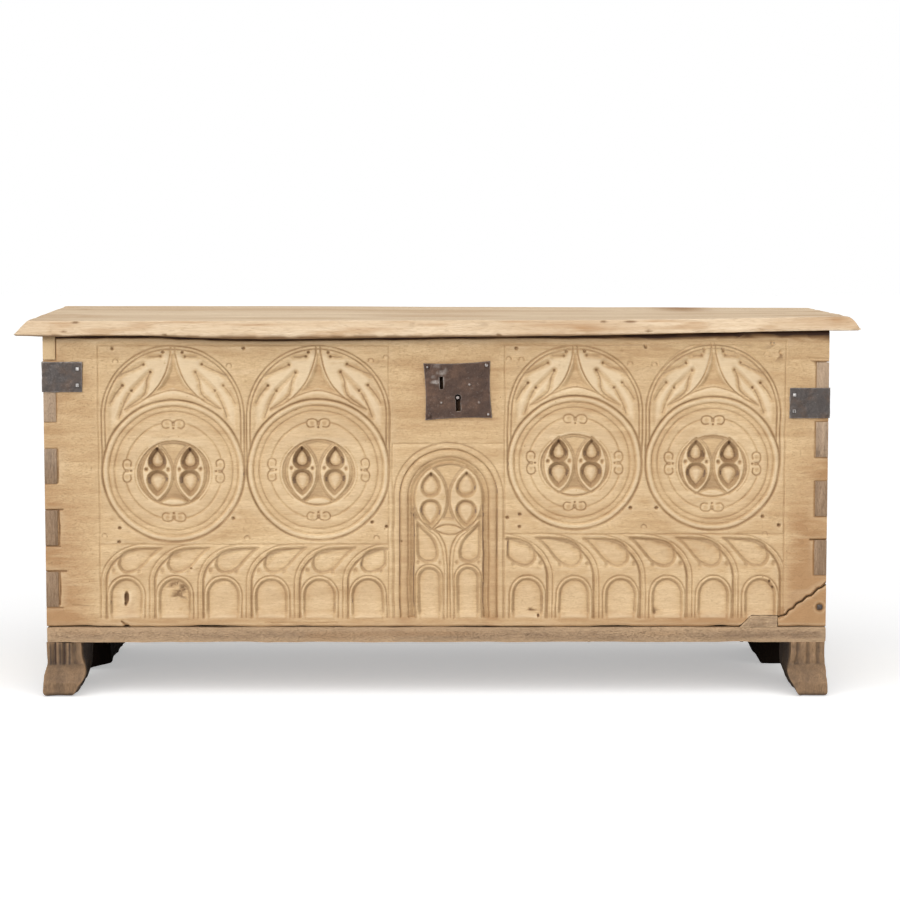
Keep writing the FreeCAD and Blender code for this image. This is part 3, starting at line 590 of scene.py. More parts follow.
def iron(name, dark, rust, bare="iron_bare"):
    """Forged iron in named colours."""
    shades = {"Dark": dark, "Rust": rust, "Bare": bare}
    group = shared_group("forged_skin", iron_group)
    return finish_of(name, group, shades, (1.0, 1.0, 1.0), 0.0, IRON_BUMP, metallic=0.55, specular=0.4)


def strap_iron():
    return iron("strap_iron_skin", "strap_dark", "strap_rust")


def lock_iron():
    return iron("lock_iron_skin", "lock_dark", "lock_rust")


def rubbed_iron():
    return iron("rubbed_iron_skin", "pin_iron", "iron_bare")


def lock_nail_iron():
    return iron("lock_nail_iron_skin", "lock_dark", "lock_rust", bare="nail_bright")


def nail_iron():
    return iron("nail_iron_skin", "strap_dark", "strap_rust", bare="nail_bright")


# Carving: the sheet of cut depths, in millimetres


def curve(points, closed=False, steps=7):
    """A smooth line through a few points."""
    knots = np.asarray(points, float)
    if closed:
        before, after = np.roll(knots, 1, 0), np.roll(knots, -2, 0)
        ends = np.roll(knots, -1, 0)
    else:
        padded = np.vstack([2 * knots[0] - knots[1], knots, 2 * knots[-1] - knots[-2]])
        before, knots, ends, after = padded[:-3], padded[1:-2], padded[2:-1], padded[3:]
    share = np.linspace(0, 1, steps, endpoint=False)[None, :, None]
    a, b, c, d = (p[:, None, :] for p in (before, knots, ends, after))
    line = 0.5 * (
        2 * b + (c - a) * share + (2 * a - 5 * b + 4 * c - d) * share ** 2 + (3 * b - a - 3 * c + d) * share ** 3
    )
    line = line.reshape(-1, 2)
    return line if closed else np.vstack([line, points[-1]])


def arc(x, z, half_width, half_height, start, end, count=40):
    """Points of an ellipse from one angle to another, in degrees from the right, anticlockwise."""
    turn = np.radians(np.linspace(start, end, count))
    return np.stack([x + half_width * np.cos(turn), z + half_height * np.sin(turn)], 1)


def drop_outline(x, z, width, height, up):
    """A drop between its round end and its tip, which points up (1) or down (-1)."""
    turn = np.linspace(0, 2 * np.pi, 36, endpoint=False)
    bulge = np.sin(turn) * np.sin(turn / 2) ** 0.6 / 0.84
    return np.stack([x + width / 2 * bulge, z + up * height / 2 * np.cos(turn)], 1)


def vesica_outline(x, z, half_width, half_height):
    """Two arcs that meet in a point above and below."""
    radius = (half_width ** 2 + half_height ** 2) / (2 * half_width)
    reach = math.degrees(math.asin(half_height / radius))
    right = arc(x - radius + half_width, z, radius, radius, -reach, reach, 20)
    left = arc(x + radius - half_width, z, radius, radius, 180 - reach, 180 + reach, 20)
    return np.vstack([right[:-1], left[:-1]])


def lancet_outline(x, foot_z, width, height, head):
    """Straight sides under a round head that rises by head."""
    half = width / 2
    top = arc(x, foot_z + height - head, half, head, 0, 180, 24)
    return np.vstack([[(x - half, foot_z), (x + half, foot_z)], top])


def loop_of(outline):
    """The outline with its first point again at its end."""
    return np.vstack([outline, outline[:1]])


def distance_to_path(x, z, path):
    """Distance of each place from a line of points."""
    nearest = np.full(x.shape, np.inf)
    for (x0, z0), (x1, z1) in zip(path[:-1], path[1:]):
        run_x, run_z = x1 - x0, z1 - z0
        span = run_x * run_x + run_z * run_z
        if span > 0:
            along = np.clip(((x - x0) * run_x + (z - z0) * run_z) / span, 0, 1)
            away = (x - x0 - along * run_x) ** 2 + (z - z0 - along * run_z) ** 2
            nearest = np.minimum(nearest, away)
    return np.sqrt(nearest)


def depth_inside(x, z, outline):
    """Distance in from a closed outline, below 0 outside it."""
    closed = loop_of(outline)
    within = np.zeros(x.shape, bool)
    for (x0, z0), (x1, z1) in zip(closed[:-1], closed[1:]):
        if z0 != z1:
            crossed = (z0 > z) != (z1 > z)
            within ^= crossed & (x < x0 + (z - z0) * (x1 - x0) / (z1 - z0))
    away = distance_to_path(x, z, closed)
    return np.where(within, away, -away)


class Relief:
    """How deep the front is cut at each point of its sheet."""

    # Depth from which a cut holds all its dirt
    FULL_DIRT = 2.6

    def __init__(self, columns, rows, wobble):
        self.columns, self.rows = columns, rows
        x, z = np.meshgrid(columns, rows)
        self.x = x + wobble * soft_noise(x, z, 47, 39, seed=1)
        self.z = z + wobble * soft_noise(x, z, 41, 52, seed=2)
        self.depth = np.zeros(x.shape)
        self.base = np.zeros(x.shape)
        self.dirt = np.zeros(x.shape)
        self.rub = np.zeros(x.shape)

    def around(self, path, margin):
        """The part of the sheet that a cut along these points can reach."""
        low, high = np.min(path, 0) - margin, np.max(path, 0) + margin
        columns = slice(*np.searchsorted(self.columns, (low[0], high[0])))
        rows = slice(*np.searchsorted(self.rows, (low[1], high[1])))
        return rows, columns

    def cut(self, part, depth, dirt=0.0):
        """Cuts a part of the sheet at least this deep, and leaves dirt in it."""
        self.depth[part] = np.maximum(self.depth[part], depth)
        self.soil(part, dirt)

    def away_from(self, part, x, z):
        """Distance of a part of the sheet from a point."""
        return np.hypot(self.x[part] - x, self.z[part] - z)

    def furrow(self, part, away, width, depth, dirt):
        """A V cut at these distances from its bottom line, where dirt lies."""
        fall = np.clip(1 - 2 * away / width, 0, 1)
        self.cut(part, depth * fall, dirt * min(depth / self.FULL_DIRT, 1.0) * fall ** 0.7)

    def groove(self, path, width, depth, dirt=0.62):
        """A V cut along a line of points."""
        part = self.around(path, width)
        self.furrow(part, distance_to_path(self.x[part], self.z[part], path), width, depth, dirt)

    def ring(self, x, z, radius, width, depth, dirt=0.62):
        """A V cut round a circle."""
        part = self.around([(x, z)], radius + width)
        self.furrow(part, np.abs(self.away_from(part, x, z) - radius), width, depth, dirt)

    def soil(self, part, dirt):
        """Leaves dirt without a cut."""
        self.dirt[part] = np.maximum(self.dirt[part], dirt)

    def scrub(self, part, share):
        """Makes the surface paler: pale grounds, and painted highlights on crests."""
        self.rub[part] = np.maximum(self.rub[part], share)

    def sink(self, part, inside, wall, depth, crown=0.0, dirt=0.75):
        """A ground sunk within sloping walls, whose middle may swell up again by a crown."""
        fall = np.clip(inside / wall, 0, 1)
        swell = ramp(inside, wall, wall * 2.6)
        rim = 0.55 * np.clip(1 - np.abs(inside) / 1.9, 0, 1)
        foot = 0.9 * np.clip(1 - np.abs(inside - wall) / 2.8, 0, 1)
        slope = 0.5 * (inside > 0) * (inside < wall)
        self.cut(part, depth * fall + 0.6 * foot - crown * swell, dirt * np.maximum(np.maximum(rim, slope), foot))

    def pocket(self, outline, wall, depth, crown=0.0, within=None, rise_z=None, dirt=0.75):
        """A sunk ground, kept within two x if they are given, that rises to the surface at rise_z."""
        part = self.around(outline, 2.0)
        inside = depth_inside(self.x[part], self.z[part], outline)
        if within:
            inside = np.minimum(inside, np.minimum(self.x[part] - within[0], within[1] - self.x[part]))
        lift = 1.0 if rise_z is None else ramp(self.z[part], rise_z, rise_z + 14)
        self.sink(part, inside, wall, depth * lift, crown, dirt * lift)
        self.scrub(part, 0.5 * ramp(inside, wall + 1, wall + 6))

    def pit(self, x, z, radius, depth, stretch=1.0, dirt=1.0):
        """A drilled or pecked mark."""
        part = self.around([(x, z)], radius * max(stretch, 1.0) + 1.0)
        away = np.hypot(self.x[part] - x, (self.z[part] - z) / stretch)
        fall = ramp(away, radius, radius * 0.25)
        self.cut(part, depth * fall, dirt * min(depth / self.FULL_DIRT, 1.0) * fall)

    def lower(self, x, z, inner, outer, depth_of):
        """Lowers a round band by what depth_of gives for the share of the way across it."""
        part = self.around([(x, z)], outer)
        share = (self.away_from(part, x, z) - inner) / (outer - inner)
        self.base[part] += np.where((share >= 0) & (share < 1), depth_of(share), 0)

    def blurred(self, reach, rounds=2):
        """The depths averaged over a few points each way."""
        soft = self.depth
        for _ in range(rounds):
            for axis in (0, 1):
                padded = np.pad(soft, [(reach, reach) if a == axis else (0, 0) for a in (0, 1)], mode="edge")
                total = np.cumsum(padded, axis)
                total = np.concatenate([np.zeros_like(np.take(total, [0], axis)), total], axis)
                size = soft.shape[axis]
                upper = np.take(total, np.arange(2 * reach + 1, size + 2 * reach + 1), axis)
                soft = (upper - np.take(total, np.arange(size), axis)) / (2 * reach + 1)
        return soft

    def sample(self, values, x, z):
        """Values of the sheet at any place on it."""
        column = np.interp(x, self.columns, np.arange(len(self.columns)))
        row = np.interp(z, self.rows, np.arange(len(self.rows)))
        i = np.minimum(column.astype(int), len(self.columns) - 2)
        j = np.minimum(row.astype(int), len(self.rows) - 2)
        a, b = column - i, row - j
        low = values[j, i] * (1 - a) + values[j, i + 1] * a
        high = values[j + 1, i] * (1 - a) + values[j + 1, i + 1] * a
        return low * (1 - b) + high * b


Field = namedtuple("Field", "low_x high_x top_z foot_z arcade_z radius roundels first_bay pitch lean")

LEFT_FIELD = Field(
    -645.5, -91.4, 674.8, 151.0, 292.9, 136.5, ((-502.9, 434.3), (-225.4, 436.4)), -596.0, 92.9, 1,
)
RIGHT_FIELD = Field(
    131.1, 667.4, 675.5, 151.0, 313.0, 128.5, ((529.3, 448.3), (265.6, 450.1)), 623.0, 89.6, -1,
)
BAYS = 6

# Leaf spray over a roundel of this radius: x from its axis and fall from the arch's top
SPRAY_RADIUS = 136.5
SPRAY_LINES = (
    ((43, 51), (50, 67), (52, 84), (59, 98), (92, 122)),
    ((83, 91), (94, 113), (103, 137)),
    ((55.6, 36.4), (78, 47), (101, 56.5)),
    ((95.6, 76.5), (108, 92), (119, 110)),
    ((23.7, 21), (34, 22), (45, 22)),
)
SPRAY_FURROW = ((43, 51), (60, 67), (79, 86))
SPRAY_DOTS = ((23.7, 21), (43, 51), (55.6, 36.4), (79, 86.5), (95.6, 76.5), (19, 12.8))
TRUMPET_SIDE = ((4, 12), (6, 22), (10, 38), (16, 55), (26, 74), (41, 92), (62, 108), (88, 121))
TRUMPET_FOOT = ((60, 105), (30, 92), (0, 85))

# Drilled marks and small gouged curls in the corners of the fields
CORNER_DOTS = (
    (-617, 668), (-367, 670), (-607, 325), (-608, 298), (-389, 343), (-123, 335), (-95, 327), (153, 669),
    (399, 671), (641, 671), (657, 655), (136, 344), (160, 351), (160, 327), (373, 363), (423, 363), (626, 346),
    (658, 330),
)
CORNER_CURLS = (
    (-611, 643), (-395, 636), (-124, 645), (-96, 652), (-636, 309), (-363, 304), (-114, 304), (139, 648),
    (163, 647), (371, 638), (417, 637), (632, 651), (399, 326), (631, 312),
)

# Fish-bladder pocket of a bay of this height: x from the lancet's axis and fall from the arcade's top line
BAY_HEIGHT = 142.0
BLADDER = (
    (-15.5, 39), (-13.5, 26), (-7, 16), (5, 9.5), (22, 6), (46, 5), (70, 6), (58, 17), (46, 29), (33, 44),
    (20, 53), (5, 57), (-6.5, 54), (-13, 47),
)


# A boss's pointed ovals: how far they lie from its axis, and half their size
OVAL_ASIDE, OVAL_HALF_WIDTH, OVAL_HALF_HEIGHT = 31.5, 28.5, 54.0


def carve_boss(relief, x, z, half_width, half_height, cut):
    """The middle of a roundel: two pointed ovals, each with a drop over a drop, on a sunk ground."""
    rim_z = z - 5
    rim = arc(x, rim_z, half_width, half_height, 0, 360, 60)
    leaf = arc(x, rim_z - half_height - 22, 38, 36, 0, 180, 20)
    part = relief.around(rim, 8.0)
    here_x, here_z = relief.x[part], relief.z[part]
    ground = np.minimum(depth_inside(here_x, here_z, rim), -depth_inside(here_x, here_z, leaf))
    for side in (LEFT, RIGHT):
        oval_x = x + side * OVAL_ASIDE
        oval = vesica_outline(oval_x, z - 4, OVAL_HALF_WIDTH, OVAL_HALF_HEIGHT)
        ground = np.minimum(ground, -depth_inside(here_x, here_z, oval))
        relief.groove(loop_of(oval), cut.line_width, cut.line_depth)
        upper = drop_outline(oval_x, z + 23, width=35, height=45, up=1)
        lower = drop_outline(x + side * 31, z - 23, width=41, height=51, up=-1)
        relief.pocket(upper, cut.drop_wall, cut.drop_depth, crown=2.0, dirt=1.45)
        relief.pocket(lower, cut.drop_wall, cut.drop_depth, crown=2.6, dirt=1.1)
        for wing in (LEFT, RIGHT):
            relief.pit(oval_x + wing * 20.5, z + 3.0, radius=5.0, depth=3.0, stretch=1.2, dirt=0.8)
        relief.pit(oval_x, z + 40, radius=4.0, depth=8.5, stretch=1.7, dirt=1.5)
    deeper = hump(here_z - z, -42, 60)
    relief.sink(part, ground, wall=3.4, depth=2.6 + 2.4 * deeper)
    relief.soil(part, ramp(ground, 0, 4) * (0.22 + 0.3 * deeper))
    relief.groove(rim, cut.groove_width, cut.groove_depth)
    for start in (-48, 132):
        outer = arc(x, rim_z, half_width + 5.5, half_height + 5.5, start, start + 96, 30)
        relief.groove(outer, width=3.2, depth=1.4)


# One lobe of a cusp: across from its axis and out from the fine circle
CUSP_LOBE = ((1.5, -7), (3, 1), (11, 4), (20, 1.5), (22, -6), (17, -12), (9, -11))


def carve_cusp(relief, x, z, radius, turn):
    """A pair of small lobes on the fine circle, seen from the roundel's middle at a turn in degrees."""
    out = np.array([math.cos(math.radians(turn)), math.sin(math.radians(turn))])
    along = np.array([-out[1], out[0]])

    def at(across, reach):
        return np.array([x, z]) + along * across + out * reach

    for side in (LEFT, RIGHT):
        lobe = [at(side * a, radius + r) for a, r in CUSP_LOBE]
        relief.groove(curve(lobe), width=3.8, depth=2.4, dirt=0.85)
        relief.pit(*at(side * 12, radius - 3.5), radius=6.0, depth=0.7)
    relief.pit(*at(0, radius - 12), radius=3.0, depth=3.4)
    relief.pit(*at(0, radius - 1), radius=2.8, depth=2.6)


def carve_roundel(relief, x, z, radius, cut):
    """A ring of roll moulding round a field with a fine circle, four cusps and the boss."""
    inner = radius - cut.ring_roll
    fine = radius * 0.685
    relief.lower(x, z, inner, radius, lambda share: 2.4 * (2 * share - 1) ** 2 * ramp(share, 1.0, 0.85))
    relief.lower(x, z, 0, inner, lambda share: 2.4)
    relief.ring(x, z, radius, cut.groove_width, cut.groove_depth - 0.4, dirt=0.95)
    relief.ring(x, z, inner, cut.line_width, depth=1.6, dirt=0.6)
    relief.ring(x, z, inner - cut.ring_band, cut.line_width, depth=2.0, dirt=0.6)
    for turn in (0, 90, 180, 270):
        relief.groove(arc(x, z, fine, fine, turn + 15, turn + 75), cut.line_width, 2.0, dirt=0.55)
        carve_cusp(relief, x, z, fine, turn)
    part = relief.around([(x, z)], radius)
    away = relief.away_from(part, x, z)
    # Painted highlight along the crest of the roll; the field within is left paler
    crest_highlight = hump(away - radius, -cut.ring_roll / 2, 5.0, 1.0)
    field = ramp(away, inner - cut.ring_band - 3, inner - cut.ring_band - 8)
    relief.scrub(part, np.maximum(0.6 * crest_highlight, 0.35 * field))
    carve_boss(relief, x, z, radius * 0.5, radius * 0.455, cut)


def carve_spray(relief, x, top_z, reach):
    """The trumpet and leaves under an arch's top. Reach scales them to the arch."""

    def at(point, side=RIGHT):
        return x + side * point[0] * reach, top_z - point[1] * reach

    def line_through(points, side):
        return curve([at(point, side) for point in points])

    outline = TRUMPET_SIDE + TRUMPET_FOOT
    half = [at(point) for point in outline]
    other = [at(point, LEFT) for point in outline[:-1]]
    mouth = np.array(half + other[::-1])
    part = relief.around(mouth, 2.0)
    inside = depth_inside(relief.x[part], relief.z[part], mouth)
    fall = top_z - relief.z[part]
    relief.cut(part, 6.8 * ramp(inside, 0, 12), ramp(inside, 0, 7) * (0.06 + 0.14 * ramp(fall, 30, 90)))
    relief.rub[part] *= 1 - ramp(inside, -2, 5)
    foot = curve([at(point) for point in TRUMPET_FOOT] + [at(point, LEFT) for point in TRUMPET_FOOT[-2::-1]])
    relief.groove(foot, width=4.0, depth=2.2, dirt=0.8)
    for side in (LEFT, RIGHT):
        relief.groove([at((4, 0), side), at((4.6, 14), side)], width=4.0, depth=3.4)
        relief.groove(line_through(TRUMPET_SIDE, side), width=4.0, depth=3.0, dirt=0.7)
        for points in SPRAY_LINES:
            line = line_through(points, side)
            relief.groove(line, width=4.0, depth=3.2, dirt=0.8)
            relief.groove(line, width=17.0, depth=2.6, dirt=0.1)
        relief.groove(line_through(SPRAY_FURROW, side), width=16.0, depth=3.6, dirt=0.2)
        for point in SPRAY_DOTS:
            relief.pit(*at(point, side), radius=4.3, depth=4.6, dirt=1.15)


def carve_arch(relief, x, z, radius, top_z, cut):
    """The round arch over a roundel, two lines that run down to the roundel's sides."""
    for inset, foot_z in ((0.0, z), (6.5, z + 46)):
        reach = radius - inset
        head = arc(x, top_z - radius, reach, reach, 0, 180, 60)
        path = np.vstack([[(x + reach, foot_z)], head, [(x - reach, foot_z)]])
        relief.groove(path, cut.line_width, cut.line_depth, dirt=0.8)
    part = relief.around([(x, top_z - radius)], radius)
    under_arch = radius - 12 - np.hypot(relief.x[part] - x, relief.z[part] - top_z + radius)
    over_ring = relief.away_from(part, x, z) - radius - 4
    leaves = ramp(np.minimum(under_arch, over_ring), 0, 9)
    relief.scrub(part, leaves)
    relief.base[part] += 1.4 * leaves


def carve_lancet(relief, outline, cut):
    """The line round a lancet's sides and head, open at its foot."""
    relief.groove(outline[1:], cut.line_width, cut.line_depth)
    relief.groove(outline[[0, -1]], cut.line_width, cut.line_depth)


# Lines of a rib: inset, width, depth and dirt
RIB_LINES = ((0.0, 4.0, 2.4, 0.55), (5.0, 3.4, 1.4, 0.4), (10.0, 7.0, 3.6, 0.8))


def carve_bay(relief, field, bay, cut):
    """A lancet, the rib that rises beside it and bends over, and the bladder between them."""
    x = field.first_bay + field.lean * field.pitch * bay
    rise = (field.arcade_z - field.foot_z) / BAY_HEIGHT
    width, height = 0.78 * field.pitch, 81.0

    def at(point):
        return x + field.lean * point[0] * rise ** 0.5, field.arcade_z - point[1] * rise

    carve_lancet(relief, lancet_outline(x, field.foot_z, width, height, head=38.0), cut)
    inner = lancet_outline(x, field.foot_z - 8, width - 9, height + 3.5, head=34.0)
    relief.pocket(inner, cut.pocket_wall, cut.pocket_depth, rise_z=field.foot_z)
    limits = (field.low_x + 4, field.high_x - 4)
    bladder = curve([at(point) for point in BLADDER], closed=True)
    relief.pocket(bladder, cut.pocket_wall, cut.pocket_depth, within=limits)
    for inset, line_width, depth, dirt in RIB_LINES:
        rib_x = x - field.lean * (48.0 - inset)
        reach, lift = 86.0 * rise - inset, 74.0 * rise - inset
        middle_x, spring_z = rib_x + field.lean * reach, field.arcade_z - inset - lift
        start = 180 if field.lean > 0 else 0
        bend = arc(middle_x, spring_z, reach, lift, start, 90, 30)
        path = np.vstack([[(rib_x, field.foot_z)], bend])
        path = path[(path[:, 0] >= field.low_x) & (path[:, 0] <= field.high_x)]
        relief.groove(path, line_width, depth, dirt)
    for across, fall in ((-24, 50), (25, 51)):
        chip_x, chip_z = at((across, fall))
        relief.pit(chip_x, chip_z, radius=6.0, depth=2.0, stretch=1.3, dirt=0.6)


def carve_field(relief, field, cut):
    """Two roundels under arches, over an arcade."""
    sides = ((field.low_x, field.foot_z), (field.low_x, field.top_z), (field.high_x, field.top_z))
    relief.groove(np.array(sides + ((field.high_x, field.foot_z),)), width=3.6, depth=1.7)
    relief.groove([(field.low_x, field.arcade_z), (field.high_x, field.arcade_z)], width=3.6, depth=1.8)
    for x, z in field.roundels:
        carve_roundel(relief, x, z, field.radius, cut)
    for x, z in field.roundels:
        carve_arch(relief, x, z, field.radius, field.top_z, cut)
        carve_spray(relief, x, field.top_z, field.radius / SPRAY_RADIUS)
    for bay in range(BAYS):
        carve_bay(relief, field, bay, cut)


WINDOW_X, WINDOW_FOOT, WINDOW_SPRING = 23.5, 151.0, 384.0
WINDOW_HALF, WINDOW_INNER = 105.0, 66.0
BORDER_HALF, BORDER_TOP = 107.5, 487.0
# Right branch of the window's mullion, and the pocket beside it: x from the window's axis, and z
BRANCH = ((3, 151), (3, 268), (14, 306), (32, 322), (52, 338), (66, 357))
SLIP = (
    (62, 338), (45, 322), (28, 305), (19, 285), (19, 268), (27, 259), (40, 256), (52, 260), (61, 270), (63, 300),
)
# Drops of the window's ovals: z, width, height, way of the tip and crown
WINDOW_DROPS = ((408.0, 39, 50, 1, 1.6), (353.0, 42, 54, -1, 2.0))


def window_path(inset):
    """A line of the window's arch, inset from its outer one."""
    half = WINDOW_HALF - inset
    head = arc(WINDOW_X, WINDOW_SPRING, half, half, 0, 180, 50)
    return np.vstack([[(WINDOW_X + half, WINDOW_FOOT)], head, [(WINDOW_X - half, WINDOW_FOOT)]])


def carve_window(relief, cut):
    """The round-headed window of the middle: a moulded jamb, a forked mullion, lancets and ovals."""
    x, foot = WINDOW_X, WINDOW_FOOT
    left_x, right_x = x - BORDER_HALF, x + BORDER_HALF
    border = [(left_x, foot), (left_x, BORDER_TOP), (right_x, BORDER_TOP), (right_x, foot)]
    relief.groove(np.array(border), width=3.4, depth=1.8)
    band = WINDOW_HALF - WINDOW_INNER
    for inset in (0.0, 12.0, 28.0, band):
        relief.groove(window_path(inset), width=4.2, depth=2.2, dirt=0.75)
    part = relief.around(window_path(0.0), 2.0)
    here_x, here_z = relief.x[part], relief.z[part]
    inset = WINDOW_HALF - np.hypot(here_x - x, np.maximum(here_z - WINDOW_SPRING, 0))
    hollow = ramp(inset, 26, band - 3) * (1 - ramp(inset, band - 3, band + 1))
    roll = 2.2 * ramp(np.abs(inset - 20), 2, 8) * ramp(inset, 10, 13) * ramp(inset, 30, 27)
    relief.base[part] += (6.0 * hollow + roll) * (here_z > foot)
    relief.soil(part, 0.40 * hollow * (here_z > foot))

    ground = depth_inside(here_x, here_z, window_path(band))
    for side in (LEFT, RIGHT):
        branch = curve([(x + side * across, z) for across, z in BRANCH])
        relief.groove(branch, cut.line_width, cut.line_depth + 0.6)
        relief.groove(branch + (side * 6.0, -3.0), width=3.6, depth=2.0)
        oval_x = x + side * 34.0
        oval = vesica_outline(oval_x, 381.0, half_width=31.0, half_height=61.0)
        ground = np.minimum(ground, -depth_inside(here_x, here_z, oval))
        relief.groove(loop_of(oval), cut.line_width, cut.line_depth)
        for z, width, height, up, crown in WINDOW_DROPS:
            drop = drop_outline(oval_x, z, width, height, up)
            relief.pocket(drop, wall=5.0, depth=cut.drop_depth - 3, crown=crown)
        relief.pit(oval_x, 428.0, radius=3.6, depth=7.5, stretch=1.6, dirt=1.3)
        lancet_x = x + side * 37.0
        carve_lancet(relief, lancet_outline(lancet_x, foot, width=53.0, height=103.0, head=28.0), cut)
        inner = lancet_outline(lancet_x, foot - 8, width=46.0, height=107.0, head=25.0)
        relief.pocket(inner, wall=5.0, depth=cut.pocket_depth - 1, rise_z=foot)
        slip = curve([(x + side * across, z) for across, z in SLIP], closed=True)
        relief.pocket(slip, wall=5.0, depth=4.4)
        for across in (16, 58):
            relief.pit(x + side * across, 258, radius=4.6, depth=1.8, stretch=1.3, dirt=0.6)
    head_only = np.minimum(ground, here_z - 340)
    relief.sink(part, head_only, wall=3.2, depth=3.4)
    lens = vesica_outline(0, 0, half_width=9.5, half_height=27)[:, ::-1] + (x + 1, 321)
    relief.groove(loop_of(lens), cut.line_width, cut.line_depth + 0.6)


# Old damage on the front: x, z, radius, depth, stretch
SCARS = (
    (-596, 190, 6.2, 11.0, 3.0), (-598, 178, 3.4, 9.0, 2.0), (-472, 246, 4.4, 4.0, 0.6),
    (419, 163, 4.4, 5.0, 2.2), (640, 221, 3.6, 3.6, 1.4), (646, 210, 3.2, 3.4, 1.6),
    (546, 181, 3.2, 2.6, 1.2), (553, 162, 2.8, 3.4, 0.8), (534, 160, 2.6, 3.0, 0.7),
    (-67, 299, 3.0, 3.0, 1.0), (196, 155, 3.4, 4.0, 1.6), (180, 165, 2.6, 3.0, 1.0),
)
# Where worms have eaten the second lancet: middle, reach and number of holes
WORM_PLACE, WORM_REACH, WORM_HOLES = (-497, 203), (12, 14), 17
# Splits and gaps: width, depth, dirt and the line that they follow
SPLITS = (
    (6.0, 3.4, 1.6, ((-728, 132), (-592, 132))),
    (4.4, 4.2, 1.6, ((-606, 144), (-599, 138), (-590, 134))),
    (5.0, 3.2, 1.4, ((566, 133), (600, 133))),
    (5.0, 3.2, 1.4, ((660, 132), (746, 133))),
    (4.4, 3.8, 1.7, ((714, 645), (732, 644), (750, 644))),
    (4.0, 3.2, 1.5, ((718, 302), (736, 302), (750, 302))),
    (4.0, 3.0, 1.4, ((-750, 360), (-736, 360), (-716, 361))),
    (4.4, 3.4, 1.6, ((-750, 241), (-732, 242), (-710, 242))),
    (3.6, 2.8, 1.4, ((-724, 293), (-723, 330), (-724, 360))),
    (4.2, 3.2, 1.6, ((-724, 176), (-722, 205), (-723, 241))),
    (3.6, 2.6, 1.1, ((-724, 412), (-723, 452), (-724, 476))),
    (3.6, 2.8, 1.3, ((-750, 290), (-722, 289))),
    (3.6, 2.8, 1.3, ((-750, 171), (-718, 170))),
    (2.6, 1.6, 0.9, ((-700, 176), (-650, 173), (-610, 175))),
    (2.6, 1.6, 0.8, ((-478, 186), (-489, 170), (-500, 155))),
    (2.6, 1.6, 0.8, ((-330, 141), (-255, 139), (-190, 141))),
)


def scar(relief):
    """Knots, worm holes, splits and scratches."""
    for x, z, radius, depth, stretch in SCARS:
        relief.pit(x, z, radius, depth, stretch, dirt=1.5)
    for across, up, turn, bend in np.random.default_rng(12).uniform(-1.0, 1.0, (WORM_HOLES, 4)):
        bite = np.array(WORM_PLACE) + np.array((across, up)) * WORM_REACH
        turns = math.pi * np.array((turn, turn + 0.7 * bend))
        reach = 4.5 * np.stack([np.cos(turns), np.sin(turns)], 1)
        relief.groove([bite - reach[0], bite, bite + reach[1]], width=4.6, depth=5.0, dirt=1.5)
    for width, depth, dirt, line in SPLITS:
        relief.groove(np.array(line), width, depth, dirt)
    random = np.random.default_rng(11)
    for x, z in zip(random.uniform(-700, 700, 90), random.uniform(150, 680, 90)):
        relief.pit(x, z, random.uniform(0.9, 1.8), random.uniform(1.2, 3.0))
    for _ in range(34):
        x, z = random.uniform(-700, 640), random.uniform(150, 680)
        run, rise = random.uniform(12, 60), random.uniform(-3, 3)
        relief.groove([(x, z), (x + run, z + rise)], width=2.6, depth=random.uniform(0.5, 1.1))


# Front board


def snapped(low, high, step, marks):
    """Even places from low to high, with the nearest one moved onto each mark."""
    places = np.linspace(low, high, int(round((high - low) / step)) + 1)
    for mark in marks:
        places[np.abs(places - mark).argmin()] = mark
    return places


def setting_names(group):
    """The names of a group's own settings."""
    return [name for name in group.bl_rna.properties.keys() if name not in ("rna_type", "name")]


def in_millimetres(group):
    """The group's sizes in millimetres, by name."""
    return SimpleNamespace(**{name: getattr(group, name) / MM for name in setting_names(group)})


def node_box(node):
    """A node's lowest and highest corner in millimetres."""
    low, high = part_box(node)
    return np.array(low) / MM, np.array(high) / MM


TAIL_WIDTH, TAIL_SLOPE = 68.0, 1 / 7
FIRST_TAILS = {LEFT: 74.0, RIGHT: 135.0}
TAIL_PITCHES = {LEFT: 119.0, RIGHT: 114.0}


def tail_spans(side, low_z, high_z):
    """Lower and upper edge of each tail of a side board."""
    lows = np.arange(FIRST_TAILS[side] - TAIL_WIDTH / 2, high_z - low_z - TAIL_WIDTH / 3, TAIL_PITCHES[side])
    return [(low_z + low, min(low_z + low + TAIL_WIDTH, high_z)) for low in lows]


